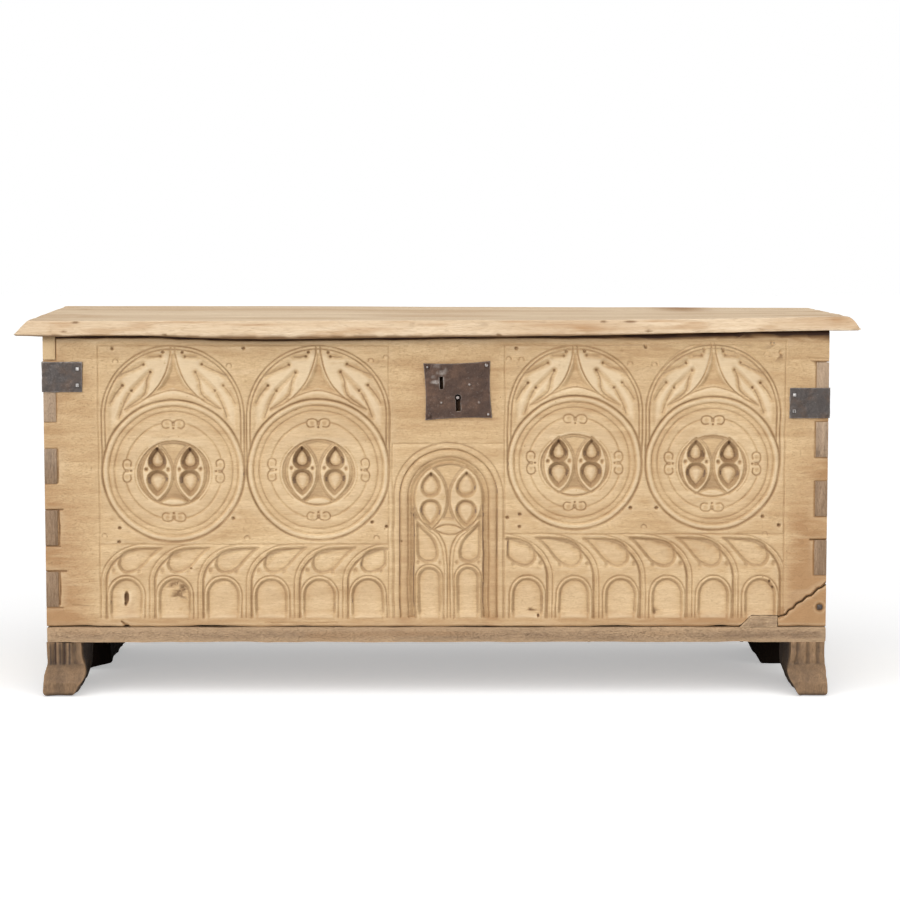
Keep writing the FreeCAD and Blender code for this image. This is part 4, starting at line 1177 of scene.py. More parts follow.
def front_stain(x, z):
    """Where the scrubbed front has kept its brown: the rail, the ends and a few patches, with painted shade under
    the lid and painted contact shadow round the irons.

    Each stain is a strength times the spans of x and z, in millimetres, that it fades across.
    """
    across = np.abs(x)
    upright = soft_noise(x, z, 7, 60, seed=23)
    blotches = ramp(soft_noise(x, z, 26, 30, seed=24), -0.5, 0.8)
    by_iron = 0.6 * ramp(z, 630, 650) + 0.8 * hump(z, 572, 20)
    stains = {
        "rail": (0.46 + 0.62 * ramp(x, 250, 560)) * ramp(z, 168, 146),
        "ends": ramp(across, 640, 705) * (0.04 + 0.70 * ramp(z, 470, 180)),
        # Painted shade along the board's top edge, where the lid's shadow falls
        "painted_lid_shadow": 0.7 * ramp(z, 686, 692),
        "worn_ends": 0.30 * ramp(across, 685, 735) * ramp(soft_noise(x, z, 20, 46, seed=22), -0.4, 0.7),
        "strips": 0.75 * ramp(across, 718, 744) * ramp(upright, -0.5, 0.7),
        "iron_left": by_iron * ramp(-x, 706, 728) * ramp(upright, -0.6, 0.5),
        "low_right": 0.20 * ramp(x, 560, 700) * ramp(z, 330, 160),
        "by_crack": (0.9 + 0.6 * blotches) * ramp(x - z, 480, 540) * ramp(z, 225, 205),
        "stile": 0.62 * blotches * hump(x, 702, 34, 12) * hump(z, 315, 135, 40),
        "jambs": 0.42 * hump(np.abs(x - WINDOW_X), 82, 22, 6) * ramp(z, 430, 330),
        "knot": 0.5 * spot(x, z, (-590, 164), (12, 20), 1.3, 0.5),
        "patches": 0.14 * ramp(soft_noise(x, z, 150, 60, seed=21), 0.1, 0.8),
    }
    # Rust from the irons together with painted contact shadow, in a thin band round the lock plate and the corner
    # irons
    for node in ("lock_plate", "left_corner_iron", "right_corner_iron"):
        low, high = node_box(node)
        away = np.maximum(np.maximum(low[0] - x, x - high[0]), np.maximum(low[2] - z, z - high[2]))
        stains["rust_by_" + node] = 0.5 * ramp(away, 6, 0)
    return sum(stains.values())


# Height of the lid's front edge from below along the lid, and of the board's level rim, in millimetres
LID_UNDERSIDE = (
    (-792, 695), (-737, 693), (-641, 695), (-556, 695), (-440, 690.5), (-325, 688), (-220, 689.5), (26, 692.5),
    (310, 695.5), (454, 699), (513, 701), (564, 701), (612, 705), (644, 704), (799, 705),
)
RIM_Z = 694.0


def height_along(x, heights):
    """Height at each x of a line through a few points."""
    return np.interp(x, *zip(*heights))


class COFFER_OT_carve_front(bpy.types.Operator):
    """Carve the front board, break off its corner and let in the patch"""

    bl_idname = "coffer.carve_front"
    bl_label = "Carve the front"

    # The broken corner's outline: x from the board's right edge and z from its foot
    BREAK = (
        (3, 88), (-9, 77), (-16, 75), (-28, 62), (-37, 60), (-46, 51), (-57, 46), (-63, 37), (-72, 33), (-77, 25),
        (-88, 22), (-92, 20), (-93, -3), (3, -3),
    )
    # Chips out of the lower edge: x of the middle, reach and height
    CHIPS = (
        (-690, 90, 2.2), (-596, 10, 3.6), (-430, 70, 3.4), (-250, 40, 1.5), (60, 60, 1.4), (350, 80, 1.6),
        (545, 34, 3.2), (700, 40, 1.5),
    )
    # How far the patch's sloping end leans
    PATCH_SLANT = 21.0

    def execute(self, context):
        cut = in_millimetres(context.scene.coffer_carving)
        low, high = node_box("front_board")
        self.spans = {side: tail_spans(side, low[2], high[2]) for side in (LEFT, RIGHT)}
        self.root_x = high[0] - (node_box("left_side_board")[1][0] - low[0])
        relief = self.carve(cut, low, high)
        limit = context.scene.coffer_carving.triangles
        for piece, node in zip(self.sheet(relief, low, high), ("front_board", "front_corner_piece")):
            self.close(piece, low, high)
            count = sum(len(face.vertices) - 2 for face in piece.data.polygons)
            apply_modifier(piece, "DECIMATE", ratio=min(1.0, limit / count))
            self.dress(piece, relief, high[1])
            finish_piece(piece, "case", [node], [front_oak(), end_grain(), inner_oak()])
        self.patch()
        return {"FINISHED"}

    def carve(self, cut, low, high):
        marks_z = sorted({edge for spans in self.spans.values() for span in spans for edge in span})
        columns = snapped(low[0], high[0], cut.step, (-self.root_x, self.root_x))
        rows = snapped(low[2], high[2], cut.step, marks_z)
        relief = Relief(columns, rows, cut.wobble)
        carve_field(relief, LEFT_FIELD, cut)
        carve_field(relief, RIGHT_FIELD, cut)
        carve_window(relief, cut)
        for x, z in CORNER_DOTS:
            relief.pit(x, z, radius=4.6, depth=4.8, dirt=1.15)
        for x, z in CORNER_CURLS:
            relief.groove(arc(x, z, 5.0, 5.0, -10, 190, 12), width=3.4, depth=2.4)
        scar(relief)
        self.open_joints(relief, low, high)
        relief.depth *= 1 + 0.18 * soft_noise(relief.x, relief.z, 29, 23, seed=3)
        relief.dirt *= 0.85 + 0.25 * soft_noise(relief.x, relief.z, 43, 27, seed=7)
        relief.depth = 0.6 * relief.depth + 0.4 * relief.blurred(1, rounds=1)
        # Paler where the face stands above its surroundings: rubbed edges, partly painted highlight
        relief.ridge = np.clip((relief.blurred(3) - relief.depth) / 1.2, 0, 1)
        waves = 0.6 * soft_noise(relief.x, relief.z, 190, 33, seed=4)
        ripples = 0.25 * soft_noise(relief.x, relief.z, 70, 24, seed=9)
        relief.depth += relief.base + 0.8 + waves + ripples
        self.recess(relief)
        return relief

    def open_joints(self, relief, low, high):
        """Worn and dirty edges along the foot, the sockets and the crack, and a painted shadow along the top edge
        under the lid.
        """
        relief.groove([(low[0], low[2]), (high[0], low[2])], width=8.0, depth=2.6, dirt=0.9)
        relief.groove(self.break_line(high[0], low[2])[:-2], width=6.0, depth=3.4, dirt=1.8)
        nail_low, nail_high = node_box("corner_piece_nail")
        nail_x, _, nail_z = (nail_low + nail_high) / 2
        relief.pit(nail_x, nail_z, radius=11.0, depth=3.4, dirt=1.3)
        # Painted shadow under the lid: a shallow cut along the top edge, darkened to near black, that follows the
        # lid's front edge
        painted_lid_shadow = np.minimum(height_along(relief.x, LID_UNDERSIDE), RIM_Z) - 1.6
        shadow_width = np.interp(relief.x, (450, 600), (4.6, 3.0))
        share = np.clip((relief.z - painted_lid_shadow + shadow_width) / 2.2, 0, 1)
        relief.cut(slice(None), 2.4 * share, 2.0 * share)
        for side, spans in self.spans.items():
            root_x, end_x = side * self.root_x, side * high[0]
            for span in spans:
                for edge in span:
                    relief.groove([(root_x, edge), (end_x, edge)], width=5.0, depth=2.0, dirt=1.0)
                relief.groove([(root_x, span[0]), (root_x, span[1])], width=5.0, depth=2.0, dirt=0.9)

    def recess(self, relief):
        """The lock's mortise, cut square and filled with painted shade, and the seat of the patch, cut square."""
        works_low, works_high = node_box("lock_bridge")
        spring_high = node_box("lock_spring")[1]
        mortise = [(works_low[0] - 12, works_low[2] - 20), (works_high[0] + 12, spring_high[2] + 4)]
        # Painted shade: the mortise floor turns near black, as if in shadow behind the keyhole
        relief.cut(relief.around(mortise, 0.0), works_high[1] - works_low[1] + 3.0, dirt=1.7)
        low, high = node_box("front_rail_patch")
        below = low[2] - 9
        seat = np.array([
            (low[0], below), (high[0], below), (high[0], high[2]), (low[0] + self.PATCH_SLANT, high[2]),
            (low[0], low[2]),
        ])
        part = relief.around(seat, 2.0)
        inside = depth_inside(relief.x[part], relief.z[part], seat)
        relief.cut(part, (high[1] - low[1]) * (inside > -0.4))

    def sheet(self, relief, low, high):
        """The carved face as two sheets, the board's and the broken corner's."""
        front = new_grid("carved_front_board", len(relief.columns) - 1, len(relief.rows) - 1)
        x, z = np.meshgrid(relief.columns, relief.rows)
        break_line = self.break_line(high[0], low[2])
        x, z = self.snap_to_break(x, z, break_line, relief)
        z = z + self.chipped_edge(x) * ramp(z, low[2] + 14, low[2])
        z = z + self.raised_rim(x) * ramp(z, high[2] - 90, high[2])
        move_points(front, np.stack([x, low[1] + relief.depth, z], 2).reshape(-1, 3) * MM)
        middles = faces_of(front)[0] / MM
        select_faces(front, self.in_sockets(middles))
        bpy.ops.mesh.delete(type="FACE")
        bpy.ops.object.mode_set(mode="OBJECT")
        middles = faces_of(front)[0] / MM
        select_faces(front, depth_inside(middles[:, 0], middles[:, 2], break_line) > 0)
        bpy.ops.mesh.separate(type="SELECTED")
        bpy.ops.object.mode_set(mode="OBJECT")
        corner = next(piece for piece in bpy.context.selected_objects if piece != front)
        corner.name = "broken_corner_piece"
        points = points_of(corner)
        at_crack = distance_to_path(points[:, 0] / MM, points[:, 2] / MM, break_line[:-2]) < 1.0
        points[:, 0] += 0.9 * MM * at_crack
        drop = 2.2 + soft_noise(points[:, 0] / MM, points[:, 2] / MM, 9, 9, seed=8)
        points[:, 2] -= drop * MM * at_crack
        move_points(corner, points)
        return front, corner

    def break_line(self, right_x, foot_z):
        """The broken corner's outline, from the right edge down the crack, round below the board."""
        return np.array([(right_x + x, foot_z + z) for x, z in self.BREAK])

    def snap_to_break(self, x, z, outline, relief):
        """Moves the points beside the crack onto it, so that the two sheets part along it."""
        crack = outline[:-1]
        near = distance_to_path(x, z, crack) < 0.75 * (relief.columns[1] - relief.columns[0])
        moved_x, moved_z = x.copy(), z.copy()
        for j, i in zip(*np.nonzero(near)):
            best = None
            for start, end in zip(crack[:-1], crack[1:]):
                run = end - start
                share = np.clip(np.dot((x[j, i], z[j, i]) - start, run) / np.dot(run, run), 0, 1)
                foot = start + share * run
                away = np.hypot(foot[0] - x[j, i], foot[1] - z[j, i])
                if best is None or away < best[0]:
                    best = (away, foot)
            moved_x[j, i], moved_z[j, i] = best[1]
        inside_board = (moved_x <= relief.columns[-1]) & (moved_z >= relief.rows[0])
        return np.where(inside_board, moved_x, x), np.where(inside_board, moved_z, z)

    def chipped_edge(self, x):
        """How far the lower edge is chipped away, in millimetres."""
        edge = 1.3 + 0.7 * soft_noise(x, x * 0, 24, 1, seed=6)
        for middle, reach, height in self.CHIPS:
            edge += height * hump(x, middle, reach)
        return edge

    def raised_rim(self, x):
        """How far the upper edge follows the sprung lid."""
        return np.maximum(height_along(x, LID_UNDERSIDE) - RIM_Z, 0.0)

    def in_sockets(self, middles):
        """Which faces lie where the sides' tails come through."""
        taken = np.zeros(len(middles), bool)
        for side, spans in self.spans.items():
            beyond = side * middles[:, 0] > self.root_x
            for bottom, top in spans:
                taken |= beyond & (middles[:, 2] > bottom) & (middles[:, 2] < top)
        return taken

    def close(self, piece, low, high):
        """Gives a sheet its thickness: its open edges are drawn back and filled."""
        select_only(piece)
        bpy.ops.object.mode_set(mode="EDIT")
        bpy.ops.mesh.select_mode(type="EDGE")
        bpy.ops.mesh.select_all(action="DESELECT")
        bpy.ops.mesh.select_non_manifold(
            extend=False, use_wire=False, use_multi_face=False, use_non_contiguous=False, use_verts=False,
        )
        bpy.ops.mesh.extrude_edges_move(TRANSFORM_OT_translate={"value": (0, (high[1] - low[1]) * MM, 0)})
        bpy.ops.object.mode_set(mode="OBJECT")
        chosen = np.zeros(len(piece.data.vertices), bool)
        piece.data.vertices.foreach_get("select", chosen)
        points = points_of(piece)
        points[chosen, 1] = high[1] * MM
        points[chosen] = self.tapered(points[chosen], low, high)
        move_points(piece, points)
        bpy.ops.object.mode_set(mode="EDIT")
        bpy.ops.mesh.fill(use_beauty=False)
        bpy.ops.mesh.select_all(action="SELECT")
        bpy.ops.mesh.normals_make_consistent(inside=False)
        bpy.ops.object.mode_set(mode="OBJECT")

    def tapered(self, points, low, high):
        """Narrows the sockets towards the back, as the tails do."""
        taper = (high[1] - low[1]) * TAIL_SLOPE
        x, z = points[:, 0] / MM, points[:, 2] / MM
        for side, spans in self.spans.items():
            beyond = side * x > self.root_x - 0.5
            for bottom, top in spans:
                z = np.where(beyond & (np.abs(z - bottom) < 0.6), bottom + taper, z)
                if top < high[2]:
                    z = np.where(beyond & (np.abs(z - top) < 0.6), top - taper, z)
        return np.stack([points[:, 0], points[:, 1], z * MM], 1)

    def dress(self, piece, relief, back_y):
        """Dirt and painted shade, rubbed edges with painted highlights, and stain for the face, end grain for the
        ends and plain oak inside.
        """
        points = points_of(piece) / MM
        x, z = points[:, 0], points[:, 2]
        carved = ramp(points[:, 1], back_y - 4, back_y - 12)
        rubbed, dirt = relief.sample(relief.ridge, x, z), relief.sample(relief.dirt, x, z)
        ground = relief.sample(relief.rub, x, z)
        clean = np.clip(1 - 2.5 * dirt, 0, 1)
        set_values(piece, "wear", ((0.7 * rubbed + 0.62 * ground) * clean - dirt) * carved)
        set_values(piece, "stain", front_stain(x, z) * carved)
        middles, normals = faces_of(piece)
        paint_faces(piece, np.abs(normals[:, 0]) > 0.8, 1)
        paint_faces(piece, (normals[:, 1] > 0.8) & (middles[:, 1] > (back_y - 1) * MM), 2)

    def patch(self):
        piece = copy_of_node("rail_patch_slip", "front_rail_patch")
        remesh(piece, voxel=0.0011, smoothing=2)
        dent(piece, height=0.0005, cell=0.011, seed=31)
        set_values(piece, "wear", wear_of(piece, rounds=8, reach=0.0006))
        finish = oak("patch_oak", "patch_pale", "base_tan", shift=11.0)
        finish_piece(piece, "case", ["front_rail_patch"], [finish])


# Plain boards


class COFFER_OT_raise_walls(bpy.types.Operator):
    """Shape the two dovetailed sides and the back"""

    bl_idname = "coffer.raise_walls"
    bl_label = "Raise the walls"

    # Height over which a tail's end is as scrubbed as the side
    SCRUBBED_Z = 0.645

    def execute(self, context):
        edge = context.scene.coffer_wear.board_edge
        for node in ("left_side_board", "right_side_board"):
            piece = copy_of_node("worn_" + node, node)
            ease_edges(piece, edge)
            points = points_of(piece)
            in_front = points[:, 1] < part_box("front_board")[0][1] + 0.6 * MM
            set_values(piece, "wear", in_front * (1.2 * ramp(points[:, 2], 0.40, 0.56) - 0.45))
            outward = LEFT if node.startswith("left") else RIGHT
            middles, normals = faces_of(piece)
            scrubbed = (middles[:, 2] > self.SCRUBBED_Z) & (normals[:, 1] < 0)
            paint_faces(piece, (np.abs(normals[:, 1]) > 0.8) & ~scrubbed, 1)
            paint_faces(piece, normals[:, 0] * outward < -0.8, 2)
            finish_piece(piece, "case", [node], [side_oak(), end_grain(), inner_oak("y")], smooth_angle=60)
        back = copy_of_node("worn_back_board", "back_board")
        ease_edges(back, edge)
        paint_faces(back, np.abs(faces_of(back)[1][:, 0]) > 0.8, 1)
        finish_piece(back, "case", ["back_board"], [inner_oak(), end_grain()], smooth_angle=60)
        return {"FINISHED"}


class COFFER_OT_lay_bottom(bpy.types.Operator):
    """Shape the two bottom planks, whose front edge shows as a strip under the carving"""

    bl_idname = "coffer.lay_bottom"
    bl_label = "Lay the bottom"

    def execute(self, context):
        wear = context.scene.coffer_wear
        finish = oak("base_oak", "base_pale", "base_tan", shift=13.0, bump=0.0012)
        for seed, node in enumerate(("bottom_front_plank", "bottom_rear_plank")):
            piece = copy_of_node("worn_" + node, node)
            remesh(piece, wear.plank_voxel, smoothing=1)
            dent(piece, wear.plank_dents, cell=0.05, seed=41 + seed)
            x, _, z = points_of(piece).T
            streaks = ramp(soft_noise(x, z, 0.11, 0.012, seed=45), 0.1, 0.9)
            seams = ramp(soft_noise(x, z, 0.2, 0.006, seed=46), 0, 0.5)
            right_end = ramp(x, 0.675, 0.695)
            set_values(piece, "wear", wear_of(piece, rounds=6, reach=0.002) - 0.7 * right_end * seams)
            set_values(piece, "stain", 0.6 * streaks)
            finish_piece(piece, "case", [node], [finish])
        return {"FINISHED"}


class COFFER_OT_shape_feet(bpy.types.Operator):
    """Shape the two fluted front feet and the two plain rear ones"""

    bl_idname = "coffer.shape_feet"
    bl_label = "Shape the feet"

    # Where thin dark lines are painted between the left foot's flutes, along the chest in millimetres
    FLUTE_LINES = (-743, -734, -725, -717, -707)

    def execute(self, context):
        wear = context.scene.coffer_wear
        front = oak("foot_oak", "foot_pale", "foot_tan", along="z", shift=17.0, bump=0.0014, dark="foot_dark")
        # The rear feet in near black, as painted shade
        rear = oak("rear_foot_oak", "rear_foot_shade", "rear_foot_shade", along="z", shift=17.0, dark="rear_foot_shade", gloss=0.05)
        finishes = {
            "front_left_foot": front, "front_right_foot": front, "rear_left_foot": rear, "rear_right_foot": rear,
        }
        for seed, (node, finish) in enumerate(finishes.items()):
            piece = copy_of_node("worn_" + node, node)
            if node.startswith("front"):
                self.wear_toe(piece, node)
            remesh(piece, wear.foot_voxel, smoothing=4)
            dent(piece, wear.foot_dents, cell=0.034, seed=51 + 2 * seed)
            self.flatten(piece, node)
            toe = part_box(node)[0][1]
            x, y, z = points_of(piece).T
            left = node == "front_left_foot"
            worn = wear_of(piece, rounds=12, reach=0.0016)
            hollows = np.where(worn < 0, 0.55 * worn, worn)
            set_values(piece, "wear", hollows - left * self.dark_flute_lines(x, z))
            # Painted shade on the sides towards the back; darker towards the sole; the left foot darker towards
            # its top
            behind = ramp(y, toe + 0.030, toe + 0.060)
            sole = ramp(z, 0.012, 0.0)
            darker = left * (0.12 + 0.22 * ramp(z, 0.050, 0.062))
            set_values(piece, "stain", 0.95 * np.maximum(behind, sole) + darker)
            finish_piece(piece, "case", [node], [finish])
        return {"FINISHED"}

    def dark_flute_lines(self, x, z):
        """Thin dark upright lines over the left foot's toe."""
        away = np.min([np.abs(x / MM - line) for line in self.FLUTE_LINES], 0)
        return 1.1 * ramp(away, 2.6, 0.7) * ramp(z, 0.056, 0.064)

    def wear_toe(self, piece, node):
        """Rounds the toe's inner lower corner and draws in the right foot's flare."""
        low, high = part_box(node)
        outward = LEFT if node.endswith("left_foot") else RIGHT
        inner = high[0] if outward == LEFT else low[0]
        with editing(piece):
            bpy.ops.mesh.quads_convert_to_tris()
            bpy.ops.mesh.subdivide(number_cuts=3)
        points = points_of(piece)
        x, y, z = points.T
        corner = ramp(np.abs(x - inner), 0.034, 0.0) * ramp(z, 0.040, 0.002)
        bulge = ramp(np.abs(x - inner), 0.030, 0.0) * hump(z, 0.046, 0.034)
        bulge *= ramp(y, low[1] + 0.085, low[1] + 0.035)
        points[:, 0] += outward * (0.010 * corner - 0.009 * bulge)
        flare = np.abs(points[:, 0]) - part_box("front_board")[1][0]
        share = 0.55 if outward == RIGHT else 0.15
        points[:, 0] -= outward * share * np.maximum(flare, 0.0)
        move_points(piece, points)

    def flatten(self, piece, node):
        """Keeps the sole on the floor and the top under the planks."""
        low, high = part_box(node)
        points = points_of(piece)
        points[:, 2] = np.clip(points[:, 2], low[2], high[2])
        move_points(piece, points)


class COFFER_OT_shape_lid(bpy.types.Operator):
    """Shape the moulded lid, sprung and wavy with age"""

    bl_idname = "coffer.shape_lid"
    bl_label = "Shape the lid"

    # Height of the front edge's upper arris along the lid, in millimetres
    ARRIS = ((-781, 722.5), (-449, 722.6), (26, 723.3), (311, 723.8), (539, 727), (779, 731))
    # Width and fall of the moulding, and how far the left end is worn back
    MOULDING, FALL, WORN_END = 22.0, 25.0, 4.5
    COLUMNS, ROWS = 360, 96
    # Between these x the underside steps up beyond the end walls
    WALL_ENDS = (750.6, 751.9)
    # Dark knocks in the front edge: x, z and reach
    KNOCKS = (
        (-719, 697, 9), (-706, 703, 6), (-516, 698, 5), (118, 697, 6), (402, 704, 7), (-685, 720, 8),
        (318, 721, 7), (369, 721, 14),
    )
    # Dark mark on the top: x, distance from the back, and reach along and across
    MARK_X, MARK_IN, MARK_ALONG, MARK_ACROSS = 508, 60, 48, 150

    def execute(self, context):
        self.low, self.high = node_box("lid_board")
        self.low[0] += self.WORN_END
        lid = new_grid("worn_lid_board", self.COLUMNS, self.ROWS)
        with editing(lid):
            bpy.ops.mesh.extrude_region_move(TRANSFORM_OT_translate={"value": (0, 0, -1)})
            bpy.ops.mesh.select_all(action="SELECT")
            bpy.ops.mesh.normals_make_consistent(inside=False)
        points = points_of(lid)
        top = points[:, 2] > -0.5
        x = self.spread_along(points[:, 0] + 0.5)
        y = self.spread_across(points[:, 1] + 0.5)
        z = np.where(top, self.upper(x, y), self.under(x, y))
        move_points(lid, np.stack([x, y, z], 1) * MM)
        self.let_in_straps(lid)
        self.dress(lid)
        return {"FINISHED"}

    def spread_along(self, share):
        """Places along the lid, drawn together at the mouldings and where the end walls are."""
        low, high, edge = self.low[0], self.high[0], self.MOULDING + 10
        wall = node_box("front_board")[1][0]
        columns = np.array((0, 20, 24, 25, 335, 336, 340, 360)) / self.COLUMNS
        places = (low, low + edge, -wall - 2, -wall - 0.5, wall + 0.5, wall + 2, high - edge, high)
        return np.interp(share, columns, places)

    def spread_across(self, share):
        """Places across the lid, drawn together at the front's moulding."""
        low, high, edge = self.low[1], self.high[1], self.MOULDING + 10
        return np.interp(share, (0, 0.18, 1), (low, low + edge, high))

    def inset(self, x, y):
        """Distance in from the moulded edges: the front and the two ends."""
        return np.minimum(np.minimum(x - self.low[0], self.high[0] - x), y - self.low[1])

    def spring(self, x, y, heights, level):
        """How far the board is sprung off its level: all of it in front, none at the back."""
        forward = (self.high[1] - y) / (self.high[1] - self.low[1])
        return (height_along(x, heights) - level) * forward

    def cast(self, x, y):
        """How far the back left corner is lifted."""
        backward = (y - self.low[1]) / (self.high[1] - self.low[1])
        return 5.0 * backward * (self.high[0] - x) / (self.high[0] - self.low[0])

    def upper(self, x, y):
        """Height of the top, which falls off in the moulding."""
        share = np.clip(self.inset(x, y) / self.MOULDING, 0, 1)
        near_ends = (self.low[0] + 60, self.low[0] + 90, self.high[0] - 90, self.high[0] - 60)
        bulge = np.interp(x, near_ends, (0.6, 3.0, 3.0, 5.2))
        swell = bulge * 4 * share * (1 - share)
        fall = self.FALL * (1 - share) - swell
        planed = 0.7 * soft_noise(x, y, 260, 40, seed=61) + 0.25 * soft_noise(x, y, 60, 14, seed=62)
        nicks = 1.2 * ramp(soft_noise(x, y, 23, 19, seed=63), 0.45, 0.95) * (share < 1)
        sprung = self.spring(x, y, self.ARRIS, self.high[2])
        return self.high[2] + sprung + self.cast(x, y) - fall + planed - nicks

    def under(self, x, y):
        """Height of the underside, which is level where it rests on the walls."""
        rounding = 4.0 * (1 - np.clip(self.inset(x, y) / 4.0, 0, 1)) ** 2
        beyond_ends = ramp(np.abs(x), *self.WALL_ENDS)
        in_front = np.maximum(ramp(y, self.low[1] + 29, self.low[1] + 14), beyond_ends)
        over_rim = np.maximum(ramp(y, self.low[1] + 76, self.low[1] + 66), beyond_ends)
        sprung = self.spring(x, y, LID_UNDERSIDE, self.low[2])
        waves = 0.5 * soft_noise(x, y, 35, 60, seed=64) * in_front
        return self.low[2] + rounding + waves + np.where(sprung > 0, sprung * over_rim, sprung * in_front)

    def let_in_straps(self, lid):
        """Cuts the recesses of the two hinge straps into the underside."""
        for node in ("left_lid_strap", "right_lid_strap"):
            cutter = copy_of_node("strap_recess", node)
            low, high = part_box(node)
            middle = np.array([(low[0] + high[0]) / 2, (low[1] + high[1]) / 2, low[2]])
            grown = middle + (points_of(cutter) - middle) * (1.012, 1.002, 1.06)
            grown[:, 2] -= 0.4 * MM * (grown[:, 2] < low[2] + 0.2 * MM)
            move_points(cutter, grown)
            apply_modifier(lid, "BOOLEAN", object=cutter, operation="DIFFERENCE", solver="FAST")
            bpy.data.objects.remove(cutter)

    def dress(self, lid):
        points = points_of(lid) / MM
        x, y, z = points.T
        inset = self.inset(x, y)
        arris = hump(inset, self.MOULDING, 3.5) * (z > self.low[2] + 12)
        tip = ramp(-inset, -3, 0)
        chips = ramp(soft_noise(x, y, 21, 17, seed=65), -0.2, 0.7)
        # Painted shade along the lid's lower edge and on its underside
        shade = ramp(z, self.low[2] + 7, self.low[2] + 1)
        dents = ramp(soft_noise(x, y, 23, 19, seed=63), 0.55, 0.95) * hump(inset, 14, 9)
        mark_along = (x - self.MARK_X) / self.MARK_ALONG
        mark_across = (self.high[1] - y - self.MARK_IN) / self.MARK_ACROSS
        mark = np.exp(-mark_along ** 2 - mark_across ** 2)
        knocks = np.zeros(len(x))
        for knock_x, knock_z, reach in self.KNOCKS:
            knocks += spot(x, z, (knock_x, knock_z), (reach, 2.4), 1.3, 0.4) * (inset < self.MOULDING)
        set_values(lid, "wear", 0.5 * (arris + tip) * chips - 0.9 * shade - 0.5 * dents - 0.3 * mark - knocks)
        back = 0.16 * ramp(y, self.high[1] - 90, self.high[1])
        clouds = 0.42 * ramp(soft_noise(x, y, 260, 34, seed=66), 0.0, 0.9)
        moulded = ramp(inset, self.MOULDING, self.MOULDING - 3)
        streaks = moulded * (0.12 + 0.5 * ramp(soft_noise(x, inset, 70, 6, seed=67), 0.1, 0.9))
        ends = 0.35 * ramp(np.abs(x), 600, 760) * ramp(soft_noise(x, y, 40, 30, seed=68), 0.0, 0.8)
        set_values(lid, "stain", 0.9 * mark + back + clouds + streaks + ends)
        finish = oak("bleached_oak", "lid_pale", "lid_tan", shift=19.0, drawn=0.4)
        paint_faces(lid, faces_of(lid)[1][:, 2] < -0.8, 1)
        finish_piece(lid, "lid", ["lid_board"], [finish, inner_oak()], smooth_angle=32)


# Irons


class COFFER_OT_forge_lock_plate(bpy.types.Operator):
    """Forge the lock plate, hammered, a little askew, with a rubbed patch by the hasp slot and painted highlights
    """

    bl_idname = "coffer.forge_lock_plate"
    bl_label = "Forge the lock plate"

    # Rivet ends that show on the plate, from its middle, in millimetres
    RIVETS = ((23, 11), (-32, -22), (40, -24))
    HALF_WIDTH, HALF_HEIGHT = 64, 54.5
    # Nail heads, rubbed bare with a painted highlight on the crown: side, up or down, how bright and how far from
    # the crown
    CROWNS = ((LEFT, 1, 0.7, 2.6), (RIGHT, 1, 1.0, 4.2), (RIGHT, -1, 0.7, 3.2))

    def execute(self, context):
        wear = context.scene.coffer_wear
        low, high = node_box("lock_plate")
        middle = (low + high) / 2
        plate = copy_of_node("hammered_lock_plate", "lock_plate")
        remesh(plate, wear.iron_voxel, smoothing=2)
        points = points_of(plate)
        x, z = points[:, 0] / MM - middle[0], points[:, 2] / MM - middle[2]
        face = ramp(points[:, 1] / MM, high[1], low[1])
        rubbed = spot(x, z, (-34, 29), (25, 25), 1.15, 0.35)
        # Painted highlights: a glint beside the hasp slot and on each rivet head
        glint = spot(x, z, (-42, 18), (9, 4), 1.3, 0.3)
        lift = 0.45 * soft_noise(x, z, 19, 17, seed=71) + 0.2 * soft_noise(x, z, 7, 7, seed=72) + 0.7 * rubbed
        for place in self.RIVETS:
            rivet = spot(x, z, place, (1, 1), 3.4, 1.0)
            lift = lift + 0.9 * rivet
            glint = np.maximum(glint, 0.6 * rivet)
        outward = np.maximum(np.abs(x) / self.HALF_WIDTH, np.abs(z) / self.HALF_HEIGHT)
        edge_lift = 0.8 * ramp(outward, 0.86, 1.0) * soft_noise(x, z, 40, 40, seed=73)
        points[:, 1] -= (lift + edge_lift) * face * MM
        move_points(plate, points)
        handled_and_glint = 0.62 * rubbed * ramp(soft_noise(x, z, 9, 7, seed=74), -0.9, 0.4) + glint
        set_values(plate, "wear", np.clip(0.75 * wear_of(plate, rounds=8, reach=0.0008) + handled_and_glint * face, -1, 1))
        self.tilt(plate, middle, wear.lock_tilt)
        finish_piece(plate, "case", ["lock_plate"], [lock_iron()])
        nails = copy_of_node("lock_plate_rose_nails", "lock_plate_nails")
        remesh(nails, wear.nail_voxel, smoothing=14)
        set_values(nails, "wear", self.rubbed_crowns_and_glints(points_of(nails) / MM, middle))
        self.tilt(nails, middle, wear.lock_tilt)
        finish_piece(nails, "case", ["lock_plate_nails"], [lock_nail_iron()])
        return {"FINISHED"}

    def rubbed_crowns_and_glints(self, points, middle):
        """How bright each nail's crown is, rubbed bare with a painted highlight, most of all at the upper right.
        """
        bright = np.zeros(len(points))
        for side, up, share, reach in self.CROWNS:
            chosen = (side * (points[:, 0] - middle[0]) > 0) & (up * (points[:, 2] - middle[2]) > 0)
            crown = points[chosen].mean(0)
            away = np.hypot(points[:, 0] - crown[0], points[:, 2] - crown[2])
            bright = np.maximum(bright, chosen * share * ramp(away, reach, 0.45 * reach))
        return bright

    def tilt(self, piece, middle, angle):
        centre = Vector(middle) * MM
        turn = Matrix.Translation(centre) @ Matrix.Rotation(-angle, 4, "Y") @ Matrix.Translation(-centre)
        piece.data.transform(turn)


